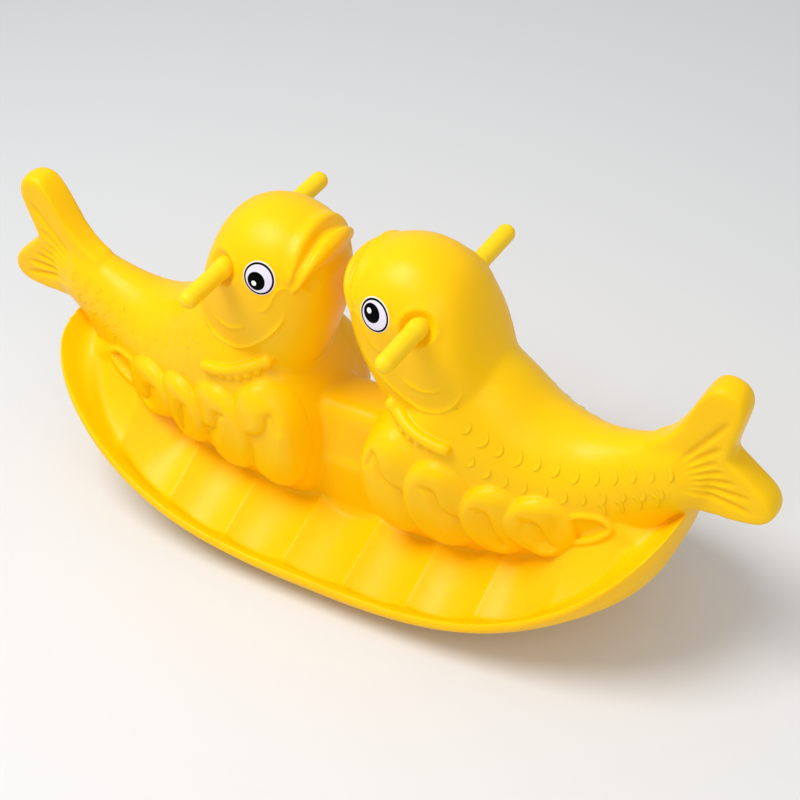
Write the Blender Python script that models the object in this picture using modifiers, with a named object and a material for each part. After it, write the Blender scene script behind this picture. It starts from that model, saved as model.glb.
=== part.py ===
# Two-fish seesaw for small children: a one-piece plastic rocker body with four hand grips.
# Units are metres, +Z is up, +X runs along the toy, and the origin is under its centre.
# Both fish and both flanks mirror each other, so every form is described for the fish at +X
# and for the flank at -Y, and the finished moulding is mirrored about both planes.

import math

import bmesh
import bpy
import numpy as np
from mathutils import Vector
from mathutils.bvhtree import BVHTree

# Boat: the fluted foot deck, its rim and the rocker hull under it
RIM_HALF_LENGTH = 0.419
RIM_HALF_WIDTH = 0.163
RIM_SQUARENESS = 3.1          # exponent of the superellipse that the rim follows in plan
RIM_LOW_Z = 0.034             # underside of the rim band at mid length
RIM_RISE = 2.25               # the rim rises by this times x cubed
RIM_BAND = 0.013              # height of the rim band
DECK_Z = 0.042                # ridge height at the outer end of the middle flutes
DECK_RISE = 1.07
DECK_RISE_POWER = 2.7
DECK_END_Y = 0.138            # where the deck heights above are measured
CROWN_SLOPE = 0.27            # slope of the deck up to the keel line at mid length
CROWN_SLOPE_GAIN = 0.80       # and how much steeper it gets per metre of length
SHOULDER_HEIGHT = 0.090       # the deck swells up to each fish's belly near the ends
SHOULDER_HALF_WIDTH = 0.055
SHOULDER_START = (0.235, 0.300)
SHOULDER_END = (0.315, 0.420)
HULL_RADIUS = 0.62            # rocking radius of the hull
LANDING_HALF_LENGTH = 0.042   # the flat that the toy rests on when it stands level
HULL_FLAT_SHARE = 0.60        # share of the half width that stays level across
HULL_TURN = 2.4               # how late the hull turns up to the rim
HULL_END_TURN = 18.0          # and how much later it does so at the ends
HULL_END_POWER = 7.0          # how near the ends that begins
LANDING_CUT = 0.0010          # what is trimmed off to make the landing truly flat

# Flutes pressed in the foot deck
FLUTE_PITCH = 0.0863
FLUTES_EACH_SIDE = 7
FLUTE_DEPTH = 0.0095
FLUTE_INNER_Y = 0.047
FLUTE_INNER_RAMP = 0.006

# Pedestal and saddle block that join the two fish
PEDESTAL_HALF_WIDTH = 0.047
PEDESTAL_TOP_Z = 0.139
PEDESTAL_HALF_LENGTH = 0.120
BLOCK_FOOT_HALF_WIDTH = 0.047
BLOCK_TOP_HALF_WIDTH = 0.034
BLOCK_TOP_Z = 0.213
BLOCK_HALF_LENGTH = 0.100
BLOCK_ROUNDING = 0.016
BLOCK_FOOT_Z = 0.100
PEDESTAL_FOOT_Z = 0.020
PEDESTAL_ROUNDING = 0.006

# Clearance of everything that slides or plugs together
FIT = 0.0003

# Handles: one core tube right through each head, with a grip pushed on each end
HANDLE_X = 0.1265
HANDLE_DROP = 0.0585          # from the top of the head to the handle's axis
GRIP_DIAMETER = 0.0220
GRIP_WALL = 0.0027
GRIP_TIP_Y = 0.1410
GRIP_INNER_Y = 0.0300         # how near the middle of the head the grips reach
GRIP_EDGE = 0.0010            # chamfer at the inner end
CORE_WALL = 0.0020
CORE_TIP_COVER = 0.0230       # from the end of the core tube to the tip of the grip
DIMPLE_MARGIN = 0.0090        # dished seat in the head, past the grip all round
DIMPLE_DEPTH = 0.0050

# Eye stickers
EYE_X = 0.0755
EYE_DROP = 0.0555             # from the top of the head to the middle of the eye
EYE_DIAMETER = 0.0420
EYE_THICKNESS = 0.0005
EYE_GLUE = 0.0003             # least film of glue between sticker and skin

# Plug that closes the moulding's vent hole in the hull
PLUG_X = 0.1500
PLUG_BORE = 0.0160
PLUG_FLANGE_DIAMETER = 0.0260
PLUG_FLANGE = 0.0025
PLUG_LENGTH = 0.0160
PLUG_SINK = 0.0010            # how far the flange lies below the skin

# Resolution of the mouldings
MOULD_GRAIN = 0.0035
FISH_TRIANGLES = 5600
BOAT_TRIANGLES = 3600
FISH_SOFTENING = 16           # smoothing rounds where head, torso, tail and block meet
RELIEF_SOFTENING = 1          # and over the skin once the relief is on it
TURNED_STEPS = 24

# Fish at +X, side view: stations along x with the heights and half widths there
HEAD_STATIONS = {
    "x": (0.0155, 0.0195, 0.029, 0.046, 0.071, 0.100, 0.128, 0.150, 0.168, 0.182, 0.196),
    "top": (0.408, 0.420, 0.4335, 0.4450, 0.4540, 0.4560, 0.4480, 0.4330, 0.4050, 0.3650, 0.3250),
    "bottom": (0.352, 0.332, 0.305, 0.268, 0.222, 0.190, 0.180, 0.190, 0.205, 0.230, 0.270),
    "wide": (0.384, 0.384, 0.382, 0.380, 0.378, 0.378, 0.370, 0.352, 0.330, 0.305, 0.292),
    "half": (0.0200, 0.0330, 0.0490, 0.0630, 0.0715, 0.0725, 0.0715, 0.0680, 0.0620, 0.0520, 0.0350),
}
BODY_STATIONS = {
    "x": (0.036, 0.042, 0.052, 0.070, 0.092, 0.130, 0.170, 0.205, 0.245, 0.290, 0.330, 0.370, 0.405, 0.440),
    "top": (0.205, 0.220, 0.240, 0.268, 0.294, 0.325, 0.338, 0.315, 0.2810, 0.2665, 0.2715, 0.2840,
            0.3050, 0.3180),
    "bottom": (0.090, 0.070, 0.050, 0.030, 0.030, 0.030, 0.040, 0.050, 0.060, 0.080, 0.100, 0.135,
               0.195, 0.226),
    "wide": (0.165, 0.180, 0.195, 0.206, 0.212, 0.214, 0.212, 0.206, 0.200, 0.200, 0.206, 0.222,
             0.243, 0.262),
    "half": (0.0500, 0.0660, 0.0780, 0.0840, 0.0865, 0.0865, 0.0840, 0.0790, 0.0715, 0.0610, 0.0500,
             0.0390, 0.0310, 0.0230),
}
HEAD_FULLNESS = 2.10          # superellipse exponents of the cross sections
BODY_FULLNESS = 2.00
HANDLE_Z = max(HEAD_STATIONS["top"]) - HANDLE_DROP
EYE_Z = max(HEAD_STATIONS["top"]) - EYE_DROP

# Forked tail fin: corners of its outline in side view, round its root
TAIL_ROOT = (0.392, 0.262)
TAIL_OUTLINE = (
    (0.350, 0.232), (0.425, 0.222), (0.478, 0.229), (0.513, 0.237), (0.518, 0.262),
    (0.463, 0.309), (0.476, 0.376), (0.453, 0.402), (0.426, 0.366), (0.402, 0.309), (0.350, 0.270),
)
TAIL_HALF_THICKNESS = 0.0180
TAIL_EDGE_POWER = 22          # how tightly the flat sides turn into the edge
TAIL_FAN = (-62.0, 112.0)     # degrees above the level between which the fin spreads
TAIL_CRISP_FAN = (-38.0, 84.0)  # part of it that keeps its crisp edges
TAIL_FADE = 14.0              # degrees over which that part sinks in the soft one
TAIL_SUNK = 0.15              # share that it loses there
TAIL_RIBS = 6
TAIL_RIB_RADIUS = 0.0050
TAIL_RIB_SPAN = (-2.0, 56.0)  # fan of the ribs, in degrees above the level
TAIL_RIB_REACH = (0.20, 0.88) # shares of the way from the root to the edge

# Relief on the flank, as points (x, z) that are laid on the fish
PECTORAL_PATH = ((0.058, 0.292), (0.078, 0.272), (0.104, 0.259), (0.132, 0.2505), (0.160, 0.2495))
PECTORAL_RADIUS = 0.0078
PECTORAL_PROUD = 0.0050
PECTORAL_ENDS = (0.0080, 0.0098)  # radii of the round ends
FINGERS = 5                   # short rays that hang from the pectoral fin
FINGER_RADIUS = 0.0050
FINGER_LENGTH = 0.019
FINGER_PROUD = 0.0015
HOOD_PATH = (
    (0.042, 0.0600, 0.388), (0.0385, 0.0540, 0.404), (0.0360, 0.0430, 0.4165), (0.0355, 0.0240, 0.4280),
    (0.0355, 0.0, 0.4340),
)
HOOD_RADII = (0.0050, 0.0070, 0.0090, 0.0110, 0.0125)
LIP_PATH = (
    (0.036, 0.0565, 0.388), (0.0315, 0.0485, 0.4040), (0.0280, 0.0330, 0.4160), (0.0260, 0.0140, 0.4220),
    (0.0255, 0.0, 0.4230),
)
LIP_RADII = (0.0055, 0.0075, 0.0090, 0.0095, 0.0095)

# Wave scrolls along the foot of each fish: centre x and z, half length and half height
SCROLLS = (
    (0.087, 0.169, 0.0485, 0.0840),
    (0.141, 0.163, 0.0470, 0.0720),
    (0.208, 0.160, 0.0405, 0.0600),
    (0.256, 0.168, 0.0405, 0.0490),
)
SCROLL_HEIGHT = 0.0120        # of the rolled rim over the flank
SCROLL_REAR_DROP = 0.40       # share of that which is lost where the next scroll lies over it
SCROLL_ROUNDING = 0.26        # share of the way out where the rim turns down
BOWL_DEPTH = 0.0085
BOWL_RIDGE = ((0.60, -0.80), (0.02, -0.62), (-0.36, -0.26), (-0.50, 0.14), (-0.40, 0.50))
BOWL_CREASE = ((-0.40, 0.50), (-0.12, 0.56), (-0.02, 0.33), (0.10, 0.13), (0.60, 0.02))
SCROLL_LEAST_Y = 0.060        # the scrolls stay at least this far out where the chest turns in
SCROLL_ROOT = 0.012           # how deep they reach into the fish
LEAF_PATH = (
    (0.318, 0.0340), (0.332, 0.0310), (0.346, 0.0270), (0.360, 0.0235), (0.3720, 0.0215), (0.363, 0.0340),
    (0.3495, 0.0400), (0.334, 0.0415), (0.320, 0.0420),
)
LEAF_RADIUS = 0.0045

YELLOW = (1.0, 0.66, 0.0, 1.0)
GRIP_YELLOW = (1.0, 0.72, 0.01, 1.0)
WHITE = (0.86, 0.86, 0.84, 1.0)
STEEL = (0.55, 0.56, 0.57, 1.0)


def make_material(name, colour, roughness, metallic=0.0):
    """Principled material of one finish."""
    material = bpy.data.materials.new(name)
    material.use_nodes = True
    shader = material.node_tree.nodes["Principled BSDF"]
    shader.inputs["Base Color"].default_value = colour
    shader.inputs["Roughness"].default_value = roughness
    shader.inputs["Metallic"].default_value = metallic
    return material


def add_object(name, mesh, collection, material=None):
    """Object for a mesh, linked to its collection."""
    thing = bpy.data.objects.new(name, mesh)
    collection.objects.link(thing)
    if material:
        mesh.materials.clear()
        mesh.materials.append(material)
    return thing


def mesh_from(work, name):
    """Mesh of a bmesh with its faces turned outwards."""
    bmesh.ops.recalc_face_normals(work, faces=work.faces)
    mesh = bpy.data.meshes.new(name)
    work.to_mesh(mesh)
    work.free()
    return mesh


def smooth_curve(points, count):
    """Points of a Catmull-Rom curve through the given ones, evenly shared between them."""
    points = np.array(points, float)
    padded = np.vstack([2 * points[0] - points[1], points, 2 * points[-1] - points[-2]])
    spots = np.linspace(0.0, len(points) - 1 - 1e-9, count)
    curve = []
    for spot in spots:
        i = int(spot)
        t = spot - i
        a, b, c, d = padded[i:i + 4]
        curve.append(0.5 * (2 * b + (c - a) * t + (2 * a - 5 * b + 4 * c - d) * t ** 2
                            + (3 * b - a - 3 * c + d) * t ** 3))
    return np.array(curve)


def loft(name, rings):
    """Closed mesh through rings of equal point counts, with a fan over each end."""
    work = bmesh.new()
    loops = [[work.verts.new(point) for point in ring] for ring in rings]
    for near, far in zip(loops, loops[1:]):
        for i in range(len(near)):
            j = (i + 1) % len(near)
            work.faces.new((near[i], near[j], far[j], far[i]))
    for loop in (loops[0], loops[-1]):
        middle = work.verts.new(sum((v.co for v in loop), Vector()) / len(loop))
        for i in range(len(loop)):
            work.faces.new((loop[i], loop[(i + 1) % len(loop)], middle))
    return mesh_from(work, name)


def rim_half_width(x):
    """Half width of the rim at x."""
    share = np.clip(np.abs(x) / RIM_HALF_LENGTH, 0.0, 1.0)
    return RIM_HALF_WIDTH * (1.0 - share ** RIM_SQUARENESS) ** (1.0 / RIM_SQUARENESS)


def rim_spread(x, y):
    """0 at the middle of the boat in plan, 1 on its rim."""
    along = (np.abs(x) / RIM_HALF_LENGTH) ** RIM_SQUARENESS
    across = (np.abs(y) / RIM_HALF_WIDTH) ** RIM_SQUARENESS
    return (along + across) ** (1.0 / RIM_SQUARENESS)


def rim_low(x):
    """Height of the underside of the rim band at x."""
    return RIM_LOW_Z + RIM_RISE * np.abs(x) ** 3


def hull_low(x):
    """Height of the rocker's lowest line at x, level over the landing."""
    return np.maximum(x ** 2 - LANDING_HALF_LENGTH ** 2, 0.0) / (2 * HULL_RADIUS)


def smooth_step(value, low, high):
    """Soft step from 0 at low to 1 at high."""
    t = np.clip((value - low) / (high - low), 0.0, 1.0)
    return t * t * (3 - 2 * t)


def flute_depth(x, y, spread):
    """Depth of the pressed flutes at a point of the deck."""
    half_run = FLUTE_PITCH * FLUTES_EACH_SIDE / 2
    across = (np.abs(x) + FLUTE_PITCH / 2) / FLUTE_PITCH
    u = 2 * (across - np.floor(across)) - 1
    past = np.clip((np.abs(x) - half_run) / FLUTE_PITCH, 0.0, 1.0)
    scallop = np.where(np.abs(x) < half_run, 1 - u ** 2, 1 - (1 - past) ** 2)
    inner = smooth_step(np.abs(y), FLUTE_INNER_Y, FLUTE_INNER_Y + FLUTE_INNER_RAMP)
    outer = 1 - smooth_step(spread, 0.86, 0.93)
    return FLUTE_DEPTH * scallop * inner * outer


def deck_top(x, y):
    """Height of the foot deck, its flutes and the rounded lip inside the rim."""
    spread = rim_spread(x, y)
    slope = CROWN_SLOPE + CROWN_SLOPE_GAIN * np.abs(x)
    floor = DECK_Z + DECK_RISE * np.abs(x) ** DECK_RISE_POWER + slope * (DECK_END_Y - np.abs(y))
    swell = smooth_step(np.abs(x), *SHOULDER_START) * (1 - smooth_step(np.abs(x), *SHOULDER_END))
    floor = floor + SHOULDER_HEIGHT * swell * np.exp(-(y / SHOULDER_HALF_WIDTH) ** 2)
    lip = rim_low(x) + RIM_BAND
    return floor + (lip - floor) * smooth_step(spread, 0.84, 0.985) - flute_depth(x, y, spread)


def boat_ring(x):
    """Cross section of deck, rim band and hull at x, as one closed ring."""
    width = max(float(rim_half_width(x)), 0.004)
    shares = np.concatenate([np.linspace(-0.985, -0.80, 9), np.linspace(-0.78, 0.78, 53),
                             np.linspace(0.80, 0.985, 9)])
    y_top = shares * width
    top = [(x, y, z) for y, z in zip(y_top, deck_top(x, y_top))]
    low = float(rim_low(x))
    keel = float(hull_low(x))
    side = [(x, width, low + RIM_BAND * 0.62), (x, width, low + RIM_BAND * 0.18), (x, width * 0.985, low)]
    under = []
    for share in np.linspace(0.955, 0.0, 18):
        spread = float(rim_spread(x, width * share))
        lift = max(spread - HULL_FLAT_SHARE, 0.0) / (1 - HULL_FLAT_SHARE)
        turn = HULL_TURN + HULL_END_TURN * (abs(x) / RIM_HALF_LENGTH) ** HULL_END_POWER
        under.append((x, width * share, keel + (low - keel) * lift ** turn - LANDING_CUT))
    half = side + under
    mirrored = [(px, -py, pz) for px, py, pz in reversed(half[:-1])]
    return top + half + mirrored


def boat_mesh():
    """Deck, rim and rocker hull in one closed form."""
    ends = RIM_HALF_LENGTH * np.sin(np.linspace(0.90 * math.pi / 2, math.pi / 2, 14))
    run = np.arange(-84, 85) * (FLUTE_PITCH / 18)
    run = run[np.abs(run) < ends[0]]
    stations = np.concatenate([-ends[::-1], run, ends])
    return loft("boat", [boat_ring(x) for x in stations])


def fish_ring(x, top, bottom, wide, half, fullness):
    """Rounded cross section of the fish at x."""
    ring = []
    for angle in np.linspace(0, 2 * math.pi, 48, endpoint=False):
        rise = math.cos(angle)
        out = math.sin(angle)
        height = top - wide if rise > 0 else wide - bottom
        z = wide + height * math.copysign(abs(rise) ** (2 / fullness), rise)
        y = half * math.copysign(abs(out) ** (2 / fullness), out)
        ring.append((x, y, z))
    return ring


def fish_mesh(name, stations, fullness):
    """Loft of a part of the fish through its stations."""
    table = np.array([stations[key] for key in ("x", "top", "bottom", "wide", "half")]).T
    rows = smooth_curve(table, 6 * len(table))
    return loft(name, [fish_ring(*row, fullness) for row in rows])


def reach(origin, angle, outline):
    """Distance from origin to the outline in the direction of angle."""
    direction = np.array((math.cos(angle), math.sin(angle)))
    best = 0.0
    for start, end in zip(outline, outline[1:] + outline[:1]):
        edge = np.subtract(end, start)
        offset = np.subtract(start, origin)
        cross = direction[0] * edge[1] - direction[1] * edge[0]
        if abs(cross) > 1e-9:
            distance = (offset[0] * edge[1] - offset[1] * edge[0]) / cross
            along = (offset[0] * direction[1] - offset[1] * direction[0]) / cross
            if distance > 0 and 0 <= along <= 1:
                best = max(best, distance)
    return best


def tail_mesh(fan, sunk=0.0):
    """Forked tail fin: radial sections round its root; sunk is how far its first and last ones shrink."""
    rings = []
    for degrees in np.linspace(*fan, 80):
        angle = math.radians(degrees)
        size = 1 - sunk * (1 - float(smooth_step(min(degrees - fan[0], fan[1] - degrees), 0.0, TAIL_FADE)))
        length = reach(TAIL_ROOT, angle, TAIL_OUTLINE) * size
        ring = []
        for turn in np.linspace(0, math.pi, 26):
            along = 0.5 * (1 - math.cos(turn))
            edge = max(1 - abs(2 * along - 1) ** TAIL_EDGE_POWER, 0.0) ** 0.5 if along > 0.5 else 1.0
            y = TAIL_HALF_THICKNESS * size * edge if along > 0.02 else 0.0
            ring.append((TAIL_ROOT[0] + length * along * math.cos(angle), -y,
                         TAIL_ROOT[1] + length * along * math.sin(angle)))
        back = [(px, -py, pz) for px, py, pz in reversed(ring[1:-1])]
        rings.append(ring + back)
    work = bmesh.new()
    loops = [[work.verts.new(point) for point in ring] for ring in rings]
    for near, far in zip(loops, loops[1:]):
        for i in range(len(near)):
            j = (i + 1) % len(near)
            work.faces.new((near[i], near[j], far[j], far[i]))
    for loop in (loops[0], loops[-1]):
        work.faces.new(loop)
    bmesh.ops.remove_doubles(work, verts=work.verts, dist=0.00005)
    return mesh_from(work, "tail")


def tail_rib_meshes():
    """Ribs that fan out over one side of the tail fin."""
    ribs = []
    for degrees in np.linspace(*TAIL_RIB_SPAN, TAIL_RIBS):
        angle = math.radians(degrees)
        length = reach(TAIL_ROOT, angle, TAIL_OUTLINE)
        path = []
        for share in np.linspace(*TAIL_RIB_REACH, 14):
            path.append((TAIL_ROOT[0] + length * share * math.cos(angle), -TAIL_HALF_THICKNESS,
                         TAIL_ROOT[1] + length * share * math.sin(angle)))
        ribs.append(tube_mesh("rib", path, swelling(TAIL_RIB_RADIUS, 0.4, 14), flat=0.7))
    return ribs


def block_mesh(name, foot, top, half_length, low, high, rounding):
    """Tapered block across the middle with rounded edges."""
    work = bmesh.new()
    bmesh.ops.create_cube(work, size=1.0)
    for vert in work.verts:
        half_width = top if vert.co.z > 0 else foot
        vert.co = (2 * vert.co.x * half_length, 2 * vert.co.y * half_width, high if vert.co.z > 0 else low)
    bmesh.ops.bevel(work, geom=work.edges[:], offset=rounding, segments=4, profile=0.5, affect="EDGES")
    return mesh_from(work, name)


def swelling(radius, taper, count):
    """Radii along a tube that is thinner towards both ends."""
    shares = np.linspace(0, 1, count)
    return [radius * (taper + (1 - taper) * math.sin(math.pi * share) ** 0.7) for share in shares]


def tube_mesh(name, path, radii, flat=1.0):
    """Round-ended tube along a path with a radius at each point; flat squeezes it across Y."""
    path = [Vector(point) for point in path]
    rings = []
    for i, point in enumerate(path):
        ahead = path[min(i + 1, len(path) - 1)] - path[max(i - 1, 0)]
        side = ahead.cross(Vector((0, 1, 0)))
        side = side.normalized() if side.length > 1e-6 else Vector((0, 0, 1))
        up = side.cross(ahead).normalized()
        out = float(radii[i]) * max(0.05, min(1.0, (min(i, len(path) - 1 - i) / 2.0) ** 0.5))
        ring = []
        for angle in np.linspace(0, 2 * math.pi, 14, endpoint=False):
            ring.append(point + side * (out * math.cos(angle)) + up * (out * flat * math.sin(angle)))
        rings.append(ring)
    return loft(name, rings)


def ball_mesh(centre, radius):
    """Round knob."""
    work = bmesh.new()
    bmesh.ops.create_uvsphere(work, u_segments=20, v_segments=14, radius=radius)
    bmesh.ops.translate(work, verts=work.verts, vec=centre)
    return mesh_from(work, "ball")


class Flank:
    """A skin on whose sides relief and stickers are laid."""

    def __init__(self, mesh):
        work = bmesh.new()
        work.from_mesh(mesh)
        self.tree = BVHTree.FromBMesh(work)
        work.free()

    def surface_y(self, x, z, side=-1):
        """Where a line along Y at x and z, coming from one side, first meets the skin."""
        hit = self.tree.ray_cast(Vector((x, side, z)), Vector((0, -side, 0)))[0]
        return hit.y if hit else side * PEDESTAL_HALF_WIDTH

    def lay(self, points, proud):
        """Path of points (x, z) laid proud of the near side, its depth evened out along the way."""
        depths = [self.surface_y(x, z) - proud for x, z in points]
        padded = [depths[0]] * 2 + depths + [depths[-1]] * 2
        even = [sum(padded[i:i + 5]) / 5 for i in range(len(depths))]
        return [(x, y, z) for (x, z), y in zip(points, even)]


def line_distance(point, line):
    """Distance in the plane from a point to a line through several points."""
    best = 1e9
    for start, end in zip(line, line[1:]):
        edge = np.subtract(end, start)
        offset = np.subtract(point, start)
        along = min(max(float(offset @ edge / (edge @ edge)), 0.0), 1.0)
        best = min(best, float(np.linalg.norm(offset - along * edge)))
    return best


def inside(point, outline):
    """True for a point inside a closed outline in the plane."""
    within = False
    for (ax, az), (bx, bz) in zip(outline, outline[1:] + outline[:1]):
        if (az > point[1]) != (bz > point[1]) and point[0] < ax + (point[1] - az) * (bx - ax) / (bz - az):
            within = not within
    return within


def scroll_height(u, w):
    """Height of a scroll over the flank, u and w being shares of its half length and height."""
    past = max(math.hypot(u, w) - (1 - SCROLL_ROUNDING), 0.0) / SCROLL_ROUNDING
    height = SCROLL_HEIGHT * math.sqrt(max(1 - past ** 2, 0.0))
    height *= 1 - SCROLL_REAR_DROP * float(smooth_step(u, 0.0, 0.9))
    if inside((u, w), BOWL_RIDGE + BOWL_CREASE[1:]):
        to_ridge = line_distance((u, w), BOWL_RIDGE)
        to_crease = line_distance((u, w), BOWL_CREASE)
        height -= BOWL_DEPTH * to_ridge / (to_ridge + to_crease)
    return height


def scroll_mesh(flank, centre_x, centre_z, half_length, half_height):
    """Rolled scroll with a bowl in its middle, laid on the flank and rooted in it."""
    shares = np.concatenate([np.linspace(0.03, 0.74, 11), np.linspace(0.79, 1.0, 6)])
    front, back = [], []
    for share in shares:
        outer, inner = [], []
        for angle in np.linspace(0, 2 * math.pi, 44, endpoint=False):
            u, w = share * math.cos(angle), share * math.sin(angle)
            x, z = centre_x + half_length * u, centre_z + half_height * w
            base = min(flank.surface_y(x, z), -SCROLL_LEAST_Y)
            outer.append((x, base - scroll_height(u, w), z))
            inner.append((x, base + SCROLL_ROOT, z))
        front.append(outer)
        back.append(inner)
    return loft("scroll", front + back[::-1])


def pectoral_meshes(flank):
    """Pectoral fin: a rod with round ends and a row of short fingers under it."""
    path = smooth_curve(PECTORAL_PATH, 30)
    laid = flank.lay(path, PECTORAL_PROUD)
    forms = [tube_mesh("pectoral", laid, [PECTORAL_RADIUS] * len(laid))]
    forms += [ball_mesh(laid[spot], radius) for spot, radius in zip((1, -2), PECTORAL_ENDS)]
    for share in np.linspace(0.28, 0.86, FINGERS):
        x, z = path[int(share * (len(path) - 1))]
        length = FINGER_LENGTH * (0.6 + 0.4 * math.sin(math.pi * share))
        line = [(x - 0.3 * drop, z - drop) for drop in np.linspace(0, length, 6)]
        forms.append(tube_mesh("finger", flank.lay(line, FINGER_PROUD), [FINGER_RADIUS] * len(line)))
    return forms


def leaf_mesh():
    """Raised border of a pointed leaf that lies on the deck behind the scrolls."""
    path = [(x, -y, float(deck_top(x, y))) for x, y in smooth_curve(LEAF_PATH, 30)]
    return tube_mesh("leaf", path, [LEAF_RADIUS] * len(path))


def lip_meshes():
    """Hood and upper lip, each one roll right round the mouth."""
    rolls = []
    for path, radii in ((HOOD_PATH, HOOD_RADII), (LIP_PATH, LIP_RADII)):
        table = [(*point, radius) for point, radius in zip(path, radii)]
        half = [tuple(row) for row in smooth_curve(table, 24)]
        both = half + [(x, -y, z, radius) for x, y, z, radius in reversed(half[:-1])]
        rolls.append(tube_mesh("lip", [row[:3] for row in both], [row[3] for row in both]))
    return rolls


def relief_meshes(flank):
    """Everything raised on the fish, each a closed form that dips into it."""
    scrolls = [scroll_mesh(flank, *scroll) for scroll in SCROLLS]
    tail = [tail_mesh(TAIL_CRISP_FAN, TAIL_SUNK)] + tail_rib_meshes()
    return scrolls + tail + pectoral_meshes(flank) + lip_meshes() + [leaf_mesh()]


def join_meshes(name, meshes, collection):
    """One object that holds copies of all the meshes."""
    work = bmesh.new()
    for mesh in meshes:
        work.from_mesh(mesh)
    joined = bpy.data.meshes.new(name)
    work.to_mesh(joined)
    work.free()
    return add_object(name, joined, collection)


def bake_modifiers(thing):
    """Put the evaluated shape in the object's mesh and drop its modifiers."""
    graph = bpy.context.evaluated_depsgraph_get()
    mesh = bpy.data.meshes.new_from_object(thing.evaluated_get(graph))
    thing.modifiers.clear()
    thing.data = mesh


def melt_together(thing, grain, rounds):
    """Fuse overlapping forms in one skin and soften where they meet."""
    remesh = thing.modifiers.new("melt", "REMESH")
    remesh.mode = "VOXEL"
    remesh.voxel_size = grain
    soften = thing.modifiers.new("soften", "SMOOTH")
    soften.factor = 0.5
    soften.iterations = rounds
    bake_modifiers(thing)


def thin_out(thing, triangles):
    """Bring a mesh down to a number of triangles, keeping its shape."""
    thin = thing.modifiers.new("thin", "DECIMATE")
    thin.ratio = triangles / sum(len(face.vertices) - 2 for face in thing.data.polygons)
    thin.use_collapse_triangulate = True
    bake_modifiers(thing)


def add_boolean(thing, other, operation="DIFFERENCE"):
    """Boolean modifier with the exact solver."""
    step = thing.modifiers.new(other.name, "BOOLEAN")
    step.operation = operation
    step.solver = "EXACT"
    step.object = other


def add_cutter(name, mesh, collection):
    """Cutter, kept out of the model."""
    cutter = add_object(name, mesh, collection)
    cutter.hide_render = True
    cutter.display_type = "WIRE"
    return cutter


def cylinder_mesh(name, radius, low, high):
    """Plain cylinder about Z between two heights."""
    work = bmesh.new()
    bmesh.ops.create_cone(work, cap_ends=True, segments=TURNED_STEPS, radius1=radius, radius2=radius,
                          depth=high - low)
    bmesh.ops.translate(work, verts=work.verts, vec=(0, 0, (low + high) / 2))
    return mesh_from(work, name)


def turned(name, profile, collection, material, closed=False):
    """Solid of revolution about Z from points (radius, height) that run down its outer side."""
    mesh = bpy.data.meshes.new(name)
    edges = [(i, i + 1) for i in range(len(profile) - 1)]
    if closed:
        edges.append((len(profile) - 1, 0))
    mesh.from_pydata([(radius, 0, height) for radius, height in profile], edges, [])
    thing = add_object(name, mesh, collection, material)
    screw = thing.modifiers.new("turn", "SCREW")
    screw.axis = "Z"
    screw.steps = TURNED_STEPS
    screw.render_steps = TURNED_STEPS
    screw.use_merge_vertices = True
    screw.merge_threshold = 0.0001
    screw.use_smooth_shade = True
    return thing


def fish_skin(parts):
    """Both fish with pedestal, block and relief, fused in one skin."""
    head = fish_mesh("head", HEAD_STATIONS, HEAD_FULLNESS)
    torso = fish_mesh("torso", BODY_STATIONS, BODY_FULLNESS)
    pedestal = block_mesh("pedestal", PEDESTAL_HALF_WIDTH, PEDESTAL_HALF_WIDTH, PEDESTAL_HALF_LENGTH,
                          PEDESTAL_FOOT_Z, PEDESTAL_TOP_Z, PEDESTAL_ROUNDING)
    block = block_mesh("block", BLOCK_FOOT_HALF_WIDTH, BLOCK_TOP_HALF_WIDTH, BLOCK_HALF_LENGTH,
                       BLOCK_FOOT_Z, BLOCK_TOP_Z, BLOCK_ROUNDING)
    plain = join_meshes("plain_fish", [head, torso, tail_mesh(TAIL_FAN), pedestal, block], parts)
    melt_together(plain, MOULD_GRAIN, FISH_SOFTENING)
    fish = join_meshes("fish", [plain.data] + relief_meshes(Flank(plain.data)), parts)
    bpy.data.objects.remove(plain)
    melt_together(fish, MOULD_GRAIN, RELIEF_SOFTENING)
    mirror = fish.modifiers.new("mirror", "MIRROR")
    mirror.use_axis = (True, True, False)
    mirror.use_bisect_axis = (True, True, False)
    mirror.use_bisect_flip_axis = (False, True, False)
    mirror.merge_threshold = 0.0001
    mirror.bisect_threshold = 0.00002
    bake_modifiers(fish)
    thin_out(fish, FISH_TRIANGLES)
    return fish


def plug_place():
    """Point and outward turn about Y of the vent hole, square to the hull."""
    lean = math.asin(PLUG_X / HULL_RADIUS)
    return Vector((PLUG_X, 0, float(hull_low(PLUG_X)) - LANDING_CUT)), lean


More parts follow.
